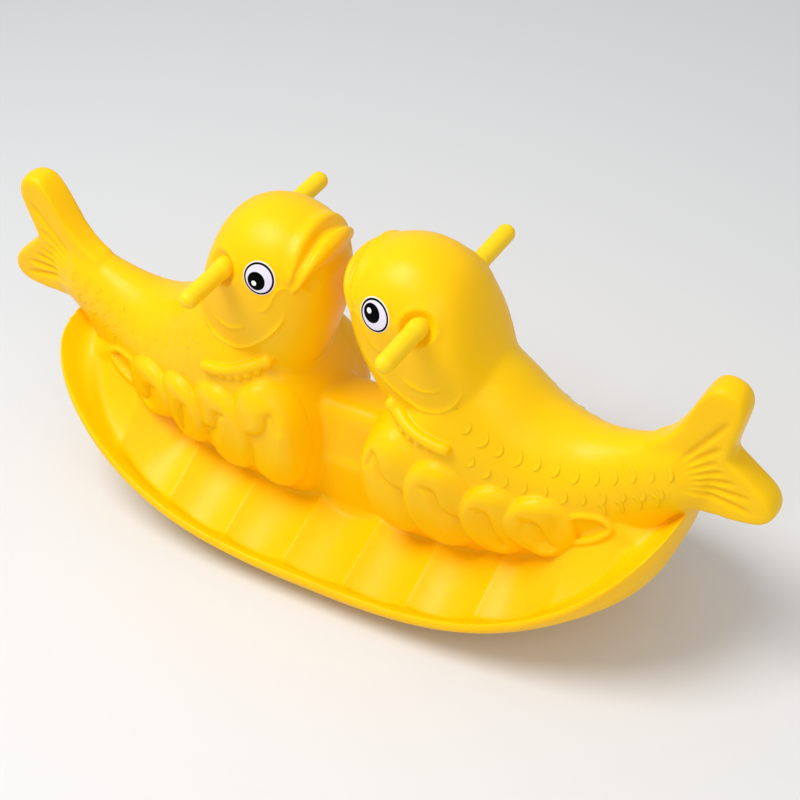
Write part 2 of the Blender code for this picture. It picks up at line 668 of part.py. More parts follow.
def body_shell(parts, cutters, material):
    """The one-piece moulding: both fish, deck, rim and hull, with its bores, seats and landing."""
    fish = fish_skin(parts)
    boat = add_object("body_shell", boat_mesh(), parts)
    thin_out(boat, BOAT_TRIANGLES)
    add_boolean(boat, fish, "UNION")
    bake_modifiers(boat)
    bpy.data.objects.remove(fish)
    boat.data.materials.clear()
    boat.data.materials.append(material)

    skin = Flank(boat.data)
    seat_y = abs(skin.surface_y(HANDLE_X, HANDLE_Z))
    dimple_radius = GRIP_DIAMETER / 2 + DIMPLE_MARGIN
    ball = (dimple_radius ** 2 + DIMPLE_DEPTH ** 2) / (2 * DIMPLE_DEPTH)
    for end in (-1, 1):
        place = (end * HANDLE_X, 0, HANDLE_Z)
        bore = cylinder_mesh("tunnel", GRIP_DIAMETER / 2 + FIT, -GRIP_TIP_Y, GRIP_TIP_Y)
        tunnel = add_cutter(f"tunnel_{end}", bore, cutters)
        tunnel.location = place
        tunnel.rotation_euler.x = math.pi / 2
        add_boolean(boat, tunnel)
        for side in (-1, 1):
            work = bmesh.new()
            bmesh.ops.create_uvsphere(work, u_segments=32, v_segments=24, radius=ball)
            dish = add_cutter(f"dish_{end}_{side}", mesh_from(work, "dish"), cutters)
            dish.location = (end * HANDLE_X, side * (seat_y - DIMPLE_DEPTH + ball), HANDLE_Z)
            add_boolean(boat, dish)

    place, lean = plug_place()
    for name, radius, depth in (("vent_hole", PLUG_BORE / 2, PLUG_LENGTH + FIT),
                                ("vent_recess", PLUG_FLANGE_DIAMETER / 2 + FIT, PLUG_SINK + PLUG_FLANGE)):
        cutter = add_cutter(name, cylinder_mesh(name, radius, -PLUG_FLANGE_DIAMETER, depth), cutters)
        cutter.location = place
        cutter.rotation_euler.y = -lean
        add_boolean(boat, cutter)

    work = bmesh.new()
    bmesh.ops.create_cube(work, size=1.0)
    for vert in work.verts:
        vert.co = (vert.co.x * 4 * RIM_HALF_LENGTH, vert.co.y * 4 * RIM_HALF_WIDTH,
                   0.0 if vert.co.z > 0 else -RIM_HALF_WIDTH)
    ground = add_cutter("ground", mesh_from(work, "ground"), cutters)
    add_boolean(boat, ground)
    bpy.context.view_layer.update()
    bake_modifiers(boat)
    return boat


def core_tube(name, end, parts, material):
    """Tube through one head, which carries both of its grips."""
    outer = GRIP_DIAMETER / 2 - GRIP_WALL - FIT
    inner = outer - CORE_WALL
    half = GRIP_TIP_Y - CORE_TIP_COVER
    profile = [(outer, half), (outer, -half), (inner, -half), (inner, half)]
    core = turned(name, profile, parts, material, closed=True)
    core.location = (end * HANDLE_X, 0, HANDLE_Z)
    core.rotation_euler.x = math.pi / 2
    return core


def hand_grip(name, end, side, parts, material):
    """Sleeve with a domed tip and a blind bore, pushed over the core tube in the head."""
    radius = GRIP_DIAMETER / 2
    bore = radius - GRIP_WALL
    dome = GRIP_TIP_Y - radius
    profile = []
    for angle in np.linspace(0, math.pi / 2, 7):
        profile.append((radius * math.sin(angle), dome + radius * math.cos(angle)))
    profile += [(radius, GRIP_INNER_Y + GRIP_EDGE), (radius - GRIP_EDGE, GRIP_INNER_Y), (bore, GRIP_INNER_Y),
                (bore, GRIP_TIP_Y - CORE_TIP_COVER + FIT), (0.0, GRIP_TIP_Y - CORE_TIP_COVER + FIT)]
    grip = turned(name, profile, parts, material)
    grip.location = (end * HANDLE_X, 0, HANDLE_Z)
    grip.rotation_euler.x = -side * math.pi / 2
    return grip


def eye_sticker(name, end, side, skin, parts, material):
    """Thin round sticker bent to the cheek, a glue film clear of the skin everywhere."""
    radius = EYE_DIAMETER / 2
    spots = [(u, v) for u in np.linspace(-radius, radius, 33) for v in np.linspace(-radius, radius, 33)]
    spots = np.array([spot for spot in spots if math.hypot(*spot) <= radius * 1.02])
    depths = np.array([abs(skin.surface_y(end * (EYE_X + u), EYE_Z + v, side)) for u, v in spots])
    terms = bend_terms(spots[:, 0], spots[:, 1])
    bend = np.linalg.lstsq(terms, depths, rcond=None)[0]
    clear = np.max(depths - terms @ bend) + EYE_GLUE
    work = bmesh.new()
    middle = work.verts.new((0, 0, 0))
    inner = None
    for share in (0.34, 0.67, 1.0):
        ring = []
        for angle in np.linspace(0, 2 * math.pi, TURNED_STEPS, endpoint=False):
            place = (share * radius * math.cos(angle), 0, share * radius * math.sin(angle))
            ring.append(work.verts.new(place))
        for i in range(TURNED_STEPS):
            j = (i + 1) % TURNED_STEPS
            hub = (middle,) if inner is None else (inner[j], inner[i])
            work.faces.new(hub + (ring[i], ring[j]))
        inner = ring
    for vert in work.verts:
        u, v = vert.co.x, vert.co.z
        y = float(bend_terms(u, v) @ bend) + clear
        vert.co = (end * (EYE_X + u), side * y, EYE_Z + v)
    bmesh.ops.recalc_face_normals(work, faces=work.faces)
    if sum(face.normal.y for face in work.faces) * side < 0:
        bmesh.ops.reverse_faces(work, faces=work.faces)
    mesh = bpy.data.meshes.new(name)
    work.to_mesh(mesh)
    work.free()
    eye = add_object(name, mesh, parts, material)
    wall = eye.modifiers.new("thickness", "SOLIDIFY")
    wall.thickness = EYE_THICKNESS
    wall.offset = 1.0
    return eye


def bend_terms(u, v):
    """Terms of the cubic surface that a sticker follows."""
    return np.stack([u * 0 + 1, u, v, u * u, u * v, v * v, u ** 3, u * u * v, u * v * v, v ** 3], axis=-1)


def vent_plug(parts, material):
    """Push-in plug with a thin flange, sunk in the hull."""
    stem = PLUG_BORE / 2 - FIT
    flange = PLUG_FLANGE_DIAMETER / 2
    seat = PLUG_SINK + PLUG_FLANGE
    profile = [(0.0, PLUG_LENGTH), (stem - GRIP_EDGE, PLUG_LENGTH), (stem, PLUG_LENGTH - GRIP_EDGE),
               (stem, seat - FIT), (flange, seat - FIT), (flange, PLUG_SINK), (0.0, PLUG_SINK)]
    plug = turned("vent_plug", profile, parts, material)
    plug.location, lean = plug_place()
    plug.rotation_euler.y = -lean
    return plug


def build():
    """The whole seesaw."""
    for thing in list(bpy.data.objects):
        bpy.data.objects.remove(thing)
    parts = bpy.data.collections.new("fish_seesaw")
    cutters = bpy.data.collections.new("cutters")
    for collection in (parts, cutters):
        bpy.context.scene.collection.children.link(collection)
    yellow = make_material("yellow_plastic", YELLOW, 0.32)
    grip_yellow = make_material("grip_plastic", GRIP_YELLOW, 0.36)
    sticker = make_material("sticker_vinyl", WHITE, 0.25)
    steel = make_material("core_steel", STEEL, 0.35, 1.0)
    rubber = make_material("plug_rubber", YELLOW, 0.55)
    body = body_shell(parts, cutters, yellow)
    body.data.shade_smooth()
    skin = Flank(body.data)
    vent_plug(parts, rubber)
    for end, fish in ((-1, "left"), (1, "right")):
        core_tube(f"handle_core_{fish}", end, parts, steel)
        for side, flank_name in ((-1, "near"), (1, "far")):
            hand_grip(f"hand_grip_{fish}_{flank_name}", end, side, parts, grip_yellow)
            eye_sticker(f"eye_sticker_{fish}_{flank_name}", end, side, skin, parts, sticker)


build()
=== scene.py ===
# Two-fish seesaw for small children, moulded in yellow plastic.
# One fish is described, at +x with its near flank at -y. The other quarters are its mirror images.
import math

import bmesh
import bpy
import numpy as np
from mathutils import Matrix, Vector
from mathutils.bvhtree import BVHTree


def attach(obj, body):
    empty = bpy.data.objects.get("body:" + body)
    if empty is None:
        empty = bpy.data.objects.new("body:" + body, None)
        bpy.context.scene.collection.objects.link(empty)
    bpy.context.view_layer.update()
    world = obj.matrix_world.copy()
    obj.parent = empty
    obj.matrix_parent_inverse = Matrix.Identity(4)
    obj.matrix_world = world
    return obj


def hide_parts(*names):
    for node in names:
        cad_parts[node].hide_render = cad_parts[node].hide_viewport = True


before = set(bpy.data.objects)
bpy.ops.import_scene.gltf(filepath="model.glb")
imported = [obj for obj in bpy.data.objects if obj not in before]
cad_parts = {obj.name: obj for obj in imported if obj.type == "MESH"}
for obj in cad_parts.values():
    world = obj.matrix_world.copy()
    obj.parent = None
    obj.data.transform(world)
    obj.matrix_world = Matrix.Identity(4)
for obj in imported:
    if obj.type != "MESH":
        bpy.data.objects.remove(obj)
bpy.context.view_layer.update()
parts = bpy.context.scene.collection


# Camera, floor and light
photoView = dict(
    place=(0.9426, -1.2953, 1.5381),
    right=(0.85294, 0.51756, -0.06795),
    down=(0.28935, -0.57712, -0.76368),
    ahead=(-0.43447, 0.63172, -0.64201),
    focalPixels=1762.5,
    imagePixels=800,
    sensor=36.0,
    farthest=50.0,
)


def setCamera(view):
    lens = bpy.data.cameras.new("photoCamera")
    lens.sensor_width = view["sensor"]
    lens.lens = view["focalPixels"] / view["imagePixels"] * view["sensor"]
    lens.clip_end = view["farthest"]
    camera = bpy.data.objects.new("photoCamera", lens)
    parts.objects.link(camera)
    right, down, ahead = (Vector(view[key]).normalized() for key in ("right", "down", "ahead"))
    turn = Matrix((right, -down, -ahead)).transposed()  # columns are the camera's own axes
    camera.matrix_world = Matrix.Translation(view["place"]) @ turn.to_4x4()
    bpy.context.scene.camera = camera


studio = dict(
    floorSize=14.0,
    floorColour=(0.74, 0.74, 0.73, 1),
    floorRoughness=0.9,
    floorShine=0.15,
    skyColour=(0.93, 0.95, 1.0, 1),
    skyStrength=0.54,
    lamps=(  # place, size, power
        ((-0.7, -0.8, 2.5), 1.5, 51),
        ((1.7, -1.3, 1.7), 1.6, 11),
    ),
)


def setStudio(studio):
    bpy.context.scene.view_settings.view_transform = "Standard"
    world = bpy.data.worlds.new("studioSky")
    world.use_nodes = True
    background = world.node_tree.nodes["Background"]
    background.inputs["Color"].default_value = studio["skyColour"]
    background.inputs["Strength"].default_value = studio["skyStrength"]
    bpy.context.scene.world = world
    bpy.ops.mesh.primitive_plane_add(size=studio["floorSize"])
    floor = bpy.context.object
    floor.name = "studioFloor"
    paper = Finish("floorPaper")
    paper.surface(Base_Color=studio["floorColour"], Roughness=studio["floorRoughness"],
                  Specular_IOR_Level=studio["floorShine"])
    floor.data.materials.append(paper.material)
    for number, (place, size, power) in enumerate(studio["lamps"]):
        lamp = bpy.data.lights.new(f"softLamp{number}", "AREA")
        lamp.shape = "DISK"
        lamp.size = size
        lamp.energy = power
        holder = bpy.data.objects.new(lamp.name, lamp)
        holder.location = place
        holder.rotation_euler = (-Vector(place)).to_track_quat("-Z", "Y").to_euler()
        parts.objects.link(holder)


# Shader maths: a socket that takes sums, and a material that hands out its nodes
class Wire:
    def __init__(self, tree, socket):
        self.tree = tree
        self.socket = socket

    def math(self, operation, first, second):
        node = self.tree.nodes.new("ShaderNodeMath")
        node.operation = operation
        plug(self.tree, node.inputs[0], first)
        plug(self.tree, node.inputs[1], second)
        return Wire(self.tree, node.outputs[0])

    def __add__(self, other):
        return self.math("ADD", self, other)

    def __radd__(self, other):
        return self.math("ADD", other, self)

    def __sub__(self, other):
        return self.math("SUBTRACT", self, other)

    def __rsub__(self, other):
        return self.math("SUBTRACT", other, self)

    def __mul__(self, other):
        return self.math("MULTIPLY", self, other)

    def __rmul__(self, other):
        return self.math("MULTIPLY", other, self)


def plug(tree, socket, value):
    if isinstance(value, Wire):
        tree.links.new(value.socket, socket)
    else:
        socket.default_value = value


def inputOf(node, key):  # Base_Color is the input "Base Color", and at2 the third input
    name = key.replace("_", " ")
    return node.inputs[int(name[2:]) if name.startswith("at") else name]


class Finish:
    def __init__(self, name):
        self.material = bpy.data.materials.new(name)
        self.material.use_nodes = True
        self.tree = self.material.node_tree
        self.shader = self.tree.nodes["Principled BSDF"]

    def node(self, kind, settings=None, out=0, **sockets):
        made = self.tree.nodes.new(kind)
        for key, value in (settings or {}).items():
            setattr(made, key, value)
        for key, value in sockets.items():
            plug(self.tree, inputOf(made, key), value)
        return Wire(self.tree, made.outputs[out])

    def surface(self, **sockets):
        for key, value in sockets.items():
            plug(self.tree, inputOf(self.shader, key), value)

    def place(self, output="Object"):
        return self.node("ShaderNodeTexCoord", out=output)

    def noise(self, scale, detail):
        return self.node("ShaderNodeTexNoise", out="Fac", Vector=self.place(), Scale=scale, Detail=detail)

    def step(self, value, low, high):
        return self.node("ShaderNodeMapRange", {"interpolation_type": "SMOOTHSTEP"},
                         at0=value, at1=low, at2=high)

    def blend(self, share, first, second):
        return self.node("ShaderNodeMix", {"data_type": "RGBA"}, out=2, Factor=share, at6=first, at7=second)

    def bump(self, height, strength, distance):
        return self.node("ShaderNodeBump", out="Normal", Height=height, Strength=strength, Distance=distance)


mouldedYellow = dict(
    colour=(1.0, 0.59, 0.0, 1),
    warmer=(1.0, 0.53, 0.0, 1),
    cloudScale=5.0,  # slow drift from the one colour to the other
    cloudEdges=(0.35, 0.70),
    cloudShare=0.60,
    streakScale=45.0,
    streakShare=0.25,
    roughness=0.32,
    rubScale=20.0,  # patches that feet and clothes have dulled
    rubEdges=(0.30, 0.75),
    rubRoughness=0.10,
    shine=0.17,
    glow=0.20,  # light that spreads inside the plastic, red furthest
    glowReach=(1.0, 0.25, 0.02),
    glowScale=0.025,
    grainScale=900.0,
    grainStrength=0.35,
    grainHeight=0.00003,
)
gripTint = dict(colour=(1.0, 0.66, 0.01, 1), warmer=(1.0, 0.61, 0.01, 1))


def yellowPlastic(name, look):
    finish = Finish(name)
    cloud = finish.step(finish.noise(look["cloudScale"], detail=4.0), *look["cloudEdges"])
    streak = finish.noise(look["streakScale"], detail=5.0)
    tint = cloud * look["cloudShare"] + streak * look["streakShare"]
    colour = finish.blend(tint, look["colour"], look["warmer"])
    rub = finish.step(finish.noise(look["rubScale"], detail=6.0), *look["rubEdges"])
    grain = finish.noise(look["grainScale"], detail=2.0)
    finish.surface(
        Base_Color=colour,
        Roughness=look["roughness"] + rub * look["rubRoughness"],
        Specular_IOR_Level=look["shine"],
        Normal=finish.bump(grain, look["grainStrength"], look["grainHeight"]),
        Subsurface_Weight=look["glow"],
        Subsurface_Radius=look["glowReach"],
        Subsurface_Scale=look["glowScale"],
    )
    return finish.material


eyePrint = dict(
    white=(0.74, 0.70, 0.82, 1),
    margin=(0.93, 0.80, 0.66, 1),
    black=(0.001, 0.001, 0.001, 1),
    glint=(0.95, 0.95, 0.97, 1),
    ring=(0.825, 0.94),  # shares of the sticker's radius, as the next four are
    pupil=0.55,
    pupilOff=0.20,
    spark=0.155,
    sparkOff=0.40,
    soft=0.006,
    roughness=0.30,
    shine=0.03,
    wrinkleScale=60.0,
    wrinkleRoughness=0.06,
    wrinkleStrength=0.2,
    wrinkleHeight=0.0001,
)


def stickerVinyl(look):
    finish = Finish("stickerVinyl")
    uv = finish.place("UV")

    def disc(centre, radius):
        away = finish.node("ShaderNodeVectorMath", {"operation": "DISTANCE"}, out=1, at0=uv,
                           at1=(0.5 + centre / 2, 0.5, 0.0))
        return 1 - finish.step(away, radius / 2 - look["soft"], radius / 2 + look["soft"])

    low, high = look["ring"]
    colour = finish.blend(disc(0, high), look["margin"], look["black"])
    colour = finish.blend(disc(0, low), colour, look["white"])
    colour = finish.blend(disc(look["pupilOff"], look["pupil"]), colour, look["black"])
    colour = finish.blend(disc(look["sparkOff"], look["spark"]), colour, look["glint"])
    wrinkle = finish.noise(look["wrinkleScale"], detail=2.0)
    finish.surface(
        Base_Color=colour,
        Roughness=look["roughness"] + wrinkle * look["wrinkleRoughness"],
        Normal=finish.bump(wrinkle, look["wrinkleStrength"], look["wrinkleHeight"]),
        Specular_IOR_Level=look["shine"],
    )
    return finish.material


tubeSteel = dict(colour=(0.55, 0.56, 0.57, 1), roughness=0.28, brushScale=240.0, brushRoughness=0.15)


def platedSteel(look):
    finish = Finish("platedSteel")
    brushed = finish.noise(look["brushScale"], detail=2.0)
    finish.surface(Base_Color=look["colour"], Metallic=1.0,
                   Roughness=look["roughness"] + brushed * look["brushRoughness"])
    return finish.material


# Plain mesh tools
def keep(name, mesh, material=None):
    piece = bpy.data.objects.new(name, mesh)
    parts.objects.link(piece)
    if material:
        mesh.materials.clear()
        mesh.materials.append(material)
    return piece


def meshOf(work, name, outward=True):
    if outward:
        bmesh.ops.recalc_face_normals(work, faces=work.faces)
    mesh = bpy.data.meshes.new(name)
    work.to_mesh(mesh)
    work.free()
    return mesh


def settle(piece):  # evaluated shape becomes the mesh
    graph = bpy.context.evaluated_depsgraph_get()
    mesh = bpy.data.meshes.new_from_object(piece.evaluated_get(graph))
    piece.modifiers.clear()
    piece.data = mesh
    return piece


def joinShapes(name, meshes):
    work = bmesh.new()
    for mesh in meshes:
        work.from_mesh(mesh)
    return keep(name, meshOf(work, name, outward=False))


def melt(piece, grain, rounds):
    remesh = piece.modifiers.new("melt", "REMESH")
    remesh.mode = "VOXEL"
    remesh.voxel_size = grain
    soften = piece.modifiers.new("soften", "SMOOTH")
    soften.factor = 0.5
    soften.iterations = rounds
    return settle(piece)


def smoothCurve(points, count):  # Catmull-Rom through the points
    points = np.array(points, float)
    padded = np.vstack([2 * points[0] - points[1], points, 2 * points[-1] - points[-2]])
    curve = []
    for spot in np.linspace(0.0, len(points) - 1 - 1e-9, count):
        i = int(spot)
        t = spot - i
        a, b, c, d = padded[i:i + 4]
        curve.append(0.5 * (2 * b + (c - a) * t + (2 * a - 5 * b + 4 * c - d) * t ** 2
                            + (3 * b - a - 3 * c + d) * t ** 3))
    return np.array(curve)


def smoothStep(value, low, high):
    t = np.clip((value - low) / (high - low), 0.0, 1.0)
    return t * t * (3 - 2 * t)


def insideOf(points, outline):  # True for the points inside a closed outline in the plane
    within = np.zeros(len(points), bool)
    for (ax, az), (bx, bz) in zip(outline, outline[1:] + outline[:1]):
        if az != bz:
            crossing = ax + (points[:, 1] - az) * (bx - ax) / (bz - az)
            within ^= ((az > points[:, 1]) != (bz > points[:, 1])) & (points[:, 0] < crossing)
    return within


def nearLine(points, path):  # distance to the line, and the share of the way along it
    best = np.full(len(points), 1e9)
    share = np.zeros(len(points))
    lengths = np.linalg.norm(np.diff(path, axis=0), axis=1)
    starts = np.concatenate([[0], np.cumsum(lengths)])
    for start, end, done, length in zip(path, path[1:], starts, lengths):
        edge = end - start
        along = np.clip((points - start) @ edge / (edge @ edge), 0, 1)
        away = np.linalg.norm(points - (start + along[:, None] * edge), axis=1)
        closer = away < best
        best[closer] = away[closer]
        share[closer] = (done + along[closer] * length) / starts[-1]
    return best, share


def bridge(work, loops, closed=True):  # faces between neighbouring loops; one may be a single point
    faces = []
    for near, far in zip(loops, loops[1:]):
        count = max(len(near), len(far))
        for i in range(count if closed else count - 1):
            j = (i + 1) % count
            corners = (near[i % len(near)], near[j % len(near)], far[j % len(far)], far[i % len(far)])
            faces.append(work.faces.new(list(dict.fromkeys(corners))))
    return faces


def loft(name, rings):
    work = bmesh.new()
    loops = [[work.verts.new(point) for point in ring] for ring in rings]
    bridge(work, loops)
    for loop in (loops[0], loops[-1]):
        middle = work.verts.new(sum((v.co for v in loop), Vector()) / len(loop))
        bridge(work, [loop, [middle]])
    return meshOf(work, name)


def rod(path, radii, sides=16, blunt=0.05):  # round-ended tube with a radius at each point
    path = [Vector(point) for point in path]
    rings = []
    for i, point in enumerate(path):
        ahead = path[min(i + 1, len(path) - 1)] - path[max(i - 1, 0)]
        side = ahead.cross(Vector((0, 1, 0)))
        side = side.normalized() if side.length > 1e-6 else Vector((0, 0, 1))
        up = side.cross(ahead).normalized()
        near = min((point - path[0]).length, (point - path[-1]).length) / max(float(radii[i]), 1e-6)
        out = float(radii[i]) * max(blunt, math.sqrt(1 - (1 - min(near, 1.0)) ** 2))
        rings.append([point + side * (out * math.cos(angle)) + up * (out * math.sin(angle))
                      for angle in np.linspace(0, 2 * math.pi, sides, endpoint=False)])
    return loft("rod", rings)


# Boat: fluted foot deck, rim band and rocker hull
boat = dict(
    halfLength=0.419, halfWidth=0.163, squareness=3.1,
    rimLow=0.034, rimRise=2.25, rimBand=0.013,
    bandCorners=((1.0, 0.62), (1.0, 0.18), (0.985, 0.0)),  # shares of half width and band height
    deckLow=0.042, deckRise=1.07, deckPower=2.7, deckEnd=0.138, deckLip=(0.84, 0.985),
    crown=0.27, crownGain=0.80,  # slope of the deck up to the keel line
    hullRadius=0.62, landing=0.042, flatShare=0.60, turn=2.4, endTurn=18.0, endPower=7.0, trim=0.001,
)
boatMesh = dict(
    deckEdge=(0.80, 0.985, 13), deckMiddle=(0.785, 90), hull=(0.955, 0.0, 26),  # shares and steps
    ringsPerFlute=36, ringsPast=6, mostRings=200, endStart=0.90, endRings=20, leastWidth=0.004,
)
flute = dict(pitch=0.0863, count=7, depth=0.0100, innerY=0.047, innerRamp=0.0045, fade=(0.868, 0.918))
shoulder = dict(height=0.090, halfWidth=0.055, start=(0.235, 0.300), end=(0.315, 0.420))  # deck to belly


def rimWidth(x):
    share = np.clip(np.abs(x) / boat["halfLength"], 0.0, 1.0)
    return boat["halfWidth"] * (1.0 - share ** boat["squareness"]) ** (1.0 / boat["squareness"])


def rimSpread(x, y):  # 0 in the middle of the boat, 1 on its rim
    power = boat["squareness"]
    along, across = np.abs(x) / boat["halfLength"], np.abs(y) / boat["halfWidth"]
    return (along ** power + across ** power) ** (1 / power)


def rimLow(x):
    return boat["rimLow"] + boat["rimRise"] * np.abs(x) ** 3


def fluteDepth(x, y, spread):
    half = flute["pitch"] * flute["count"] / 2
    across = (np.abs(x) + flute["pitch"] / 2) / flute["pitch"]
    u = 2 * (across - np.floor(across)) - 1
    past = np.clip((np.abs(x) - half) / flute["pitch"], 0.0, 1.0)
    scallop = np.where(np.abs(x) < half, 1 - u ** 2, 1 - (1 - past) ** 2)
    inner = smoothStep(np.abs(y), flute["innerY"], flute["innerY"] + flute["innerRamp"])
    outer = 1 - smoothStep(spread, *flute["fade"])
    return flute["depth"] * scallop * inner * outer


def deckTop(x, y):
    spread = rimSpread(x, y)
    slope = boat["crown"] + boat["crownGain"] * np.abs(x)
    floor = boat["deckLow"] + boat["deckRise"] * np.abs(x) ** boat["deckPower"]
    floor = floor + slope * (boat["deckEnd"] - np.abs(y))
    swell = smoothStep(np.abs(x), *shoulder["start"]) * (1 - smoothStep(np.abs(x), *shoulder["end"]))
    floor = floor + shoulder["height"] * swell * np.exp(-(y / shoulder["halfWidth"]) ** 2)
    rim = rimLow(x) + boat["rimBand"]
    return floor + (rim - floor) * smoothStep(spread, *boat["deckLip"]) - fluteDepth(x, y, spread)


def boatRing(x):
    width = max(float(rimWidth(x)), boatMesh["leastWidth"])
    low, high, steps = boatMesh["deckEdge"]
    middle, middleSteps = boatMesh["deckMiddle"]
    shares = np.concatenate([np.linspace(-high, -low, steps), np.linspace(-middle, middle, middleSteps),
                             np.linspace(low, high, steps)])
    top = [(x, y, z) for y, z in zip(shares * width, deckTop(x, shares * width))]
    rim = float(rimLow(x))
    keel = max(x ** 2 - boat["landing"] ** 2, 0.0) / (2 * boat["hullRadius"])
    half = [(x, width * out, rim + boat["rimBand"] * up) for out, up in boat["bandCorners"]]
    for share in np.linspace(*boatMesh["hull"]):
        lift = max(float(rimSpread(x, width * share)) - boat["flatShare"], 0.0) / (1 - boat["flatShare"])
        turn = boat["turn"] + boat["endTurn"] * (abs(x) / boat["halfLength"]) ** boat["endPower"]
        half.append((x, width * share, keel + (rim - keel) * lift ** turn - boat["trim"]))
    return top + half + [(px, -py, pz) for px, py, pz in reversed(half[:-1])]


def boatShape():  # evenly spaced rings, then closer ones where the rim turns in
    turns = np.linspace(boatMesh["endStart"] * math.pi / 2, math.pi / 2, boatMesh["endRings"])
    ends = boat["halfLength"] * np.sin(turns)
    run = np.arange(-boatMesh["ringsPast"], boatMesh["mostRings"])
    run = run * (flute["pitch"] / boatMesh["ringsPerFlute"])
    run = run[run < ends[0]]
    return loft("boat", [boatRing(x) for x in np.concatenate([run, ends])])


# Fish: stations along x with heights and half widths there
headForm = dict(
    x=(0.0155, 0.0195, 0.029, 0.046, 0.071, 0.100, 0.128, 0.150, 0.168, 0.182, 0.196),
    top=(0.408, 0.420, 0.4335, 0.4450, 0.4540, 0.4560, 0.4475, 0.4310, 0.4000, 0.3590, 0.3230),
    bottom=(0.352, 0.332, 0.305, 0.268, 0.222, 0.190, 0.180, 0.190, 0.205, 0.230, 0.270),
    wide=(0.384, 0.384, 0.382, 0.380, 0.378, 0.378, 0.370, 0.352, 0.330, 0.305, 0.292),
    half=(0.0200, 0.0330, 0.0490, 0.0630, 0.0715, 0.0725, 0.0715, 0.0680, 0.0620, 0.0520, 0.0350),
    fullness=2.10,
)
bodyForm = dict(
    x=(0.036, 0.042, 0.052, 0.070, 0.092, 0.130, 0.170, 0.205, 0.245, 0.290, 0.330, 0.370, 0.405, 0.440),
    top=(0.205, 0.220, 0.240, 0.268, 0.294, 0.326, 0.345, 0.324, 0.2885, 0.2735, 0.2785, 0.2940,
         0.3110, 0.3200),
    bottom=(0.090, 0.070, 0.050, 0.030, 0.030, 0.030, 0.040, 0.050, 0.060, 0.080, 0.100, 0.135, 0.195, 0.226),
    wide=(0.165, 0.180, 0.195, 0.206, 0.212, 0.214, 0.212, 0.206, 0.200, 0.200, 0.206, 0.222, 0.243, 0.262),
    half=(0.0500, 0.0660, 0.0780, 0.0840, 0.0865, 0.0865, 0.0840, 0.0790, 0.0715, 0.0610, 0.0500, 0.0390,
          0.0310, 0.0230),
    fullness=2.00,
)
pedestal = dict(foot=0.047, top=0.047, halfLength=0.120, low=0.020, high=0.139, rounding=0.006)
saddleBlock = dict(foot=0.047, top=0.034, halfLength=0.100, low=0.100, high=0.213, rounding=0.016)
tail = dict(
    root=(0.392, 0.262), halfThickness=0.018, edgePower=24,
    outline=((0.350, 0.232), (0.425, 0.222), (0.478, 0.227), (0.502, 0.231), (0.513, 0.239), (0.5165, 0.251),
             (0.509, 0.268), (0.483, 0.291), (0.466, 0.307), (0.4665, 0.322), (0.474, 0.352), (0.4775, 0.374),
             (0.471, 0.390), (0.456, 0.397), (0.441, 0.394), (0.428, 0.377), (0.415, 0.350), (0.402, 0.326),
             (0.388, 0.308), (0.372, 0.297), (0.350, 0.288)),
    fan=(-62.0, 122.0), crispFan=(-38.0, 84.0), fade=14.0, sunk=0.15, emerge=(0.030, 0.085),
    rays=7, raySpan=(-9.0, 54.0), rayReach=(0.14, 0.86), rayDepth=0.0036, rayWidth=0.0034,
    rayFade=(0.035, 0.020), raySides=(0.004, 0.010),
    outlineSteps=90, sections=120, sideSteps=34, rootSunk=1.6, weld=0.00005,
)


def fishShape(name, form, ringsPerStation=9, sides=72):
    table = np.array([form[key] for key in ("x", "top", "bottom", "wide", "half")]).T
    power = 2 / form["fullness"]
    rings = []
    for x, top, bottom, wide, half in smoothCurve(table, ringsPerStation * len(table)):
        ring = []
        for angle in np.linspace(0, 2 * math.pi, sides, endpoint=False):
            rise, out = math.cos(angle), math.sin(angle)
            height = top - wide if rise > 0 else wide - bottom
            ring.append((x, half * math.copysign(abs(out) ** power, out),
                         wide + height * math.copysign(abs(rise) ** power, rise)))
        rings.append(ring)
    return loft(name, rings)


def blockShape(form):
    work = bmesh.new()
    bmesh.ops.create_cube(work, size=1.0)
    for vert in work.verts:
        above = vert.co.z > 0
        vert.co = (2 * vert.co.x * form["halfLength"], 2 * vert.co.y * form["top" if above else "foot"],
                   form["high" if above else "low"])
    bmesh.ops.bevel(work, geom=work.edges[:], offset=form["rounding"], segments=5, profile=0.5,
                    affect="EDGES")
    return meshOf(work, "block")


def reach(origin, angle, outline):  # distance to the outline in that direction
    direction = (math.cos(angle), math.sin(angle))
    best = 0.0
    for start, end in zip(outline, outline[1:] + outline[:1]):
        edge = np.subtract(end, start)
        offset = np.subtract(start, origin)
        cross = direction[0] * edge[1] - direction[1] * edge[0]
        if abs(cross) > 1e-9:
            distance = (offset[0] * edge[1] - offset[1] * edge[0]) / cross
            along = (offset[0] * direction[1] - offset[1] * direction[0]) / cross
            if distance > 0 and 0 <= along <= 1:
                best = max(best, distance)
    return best


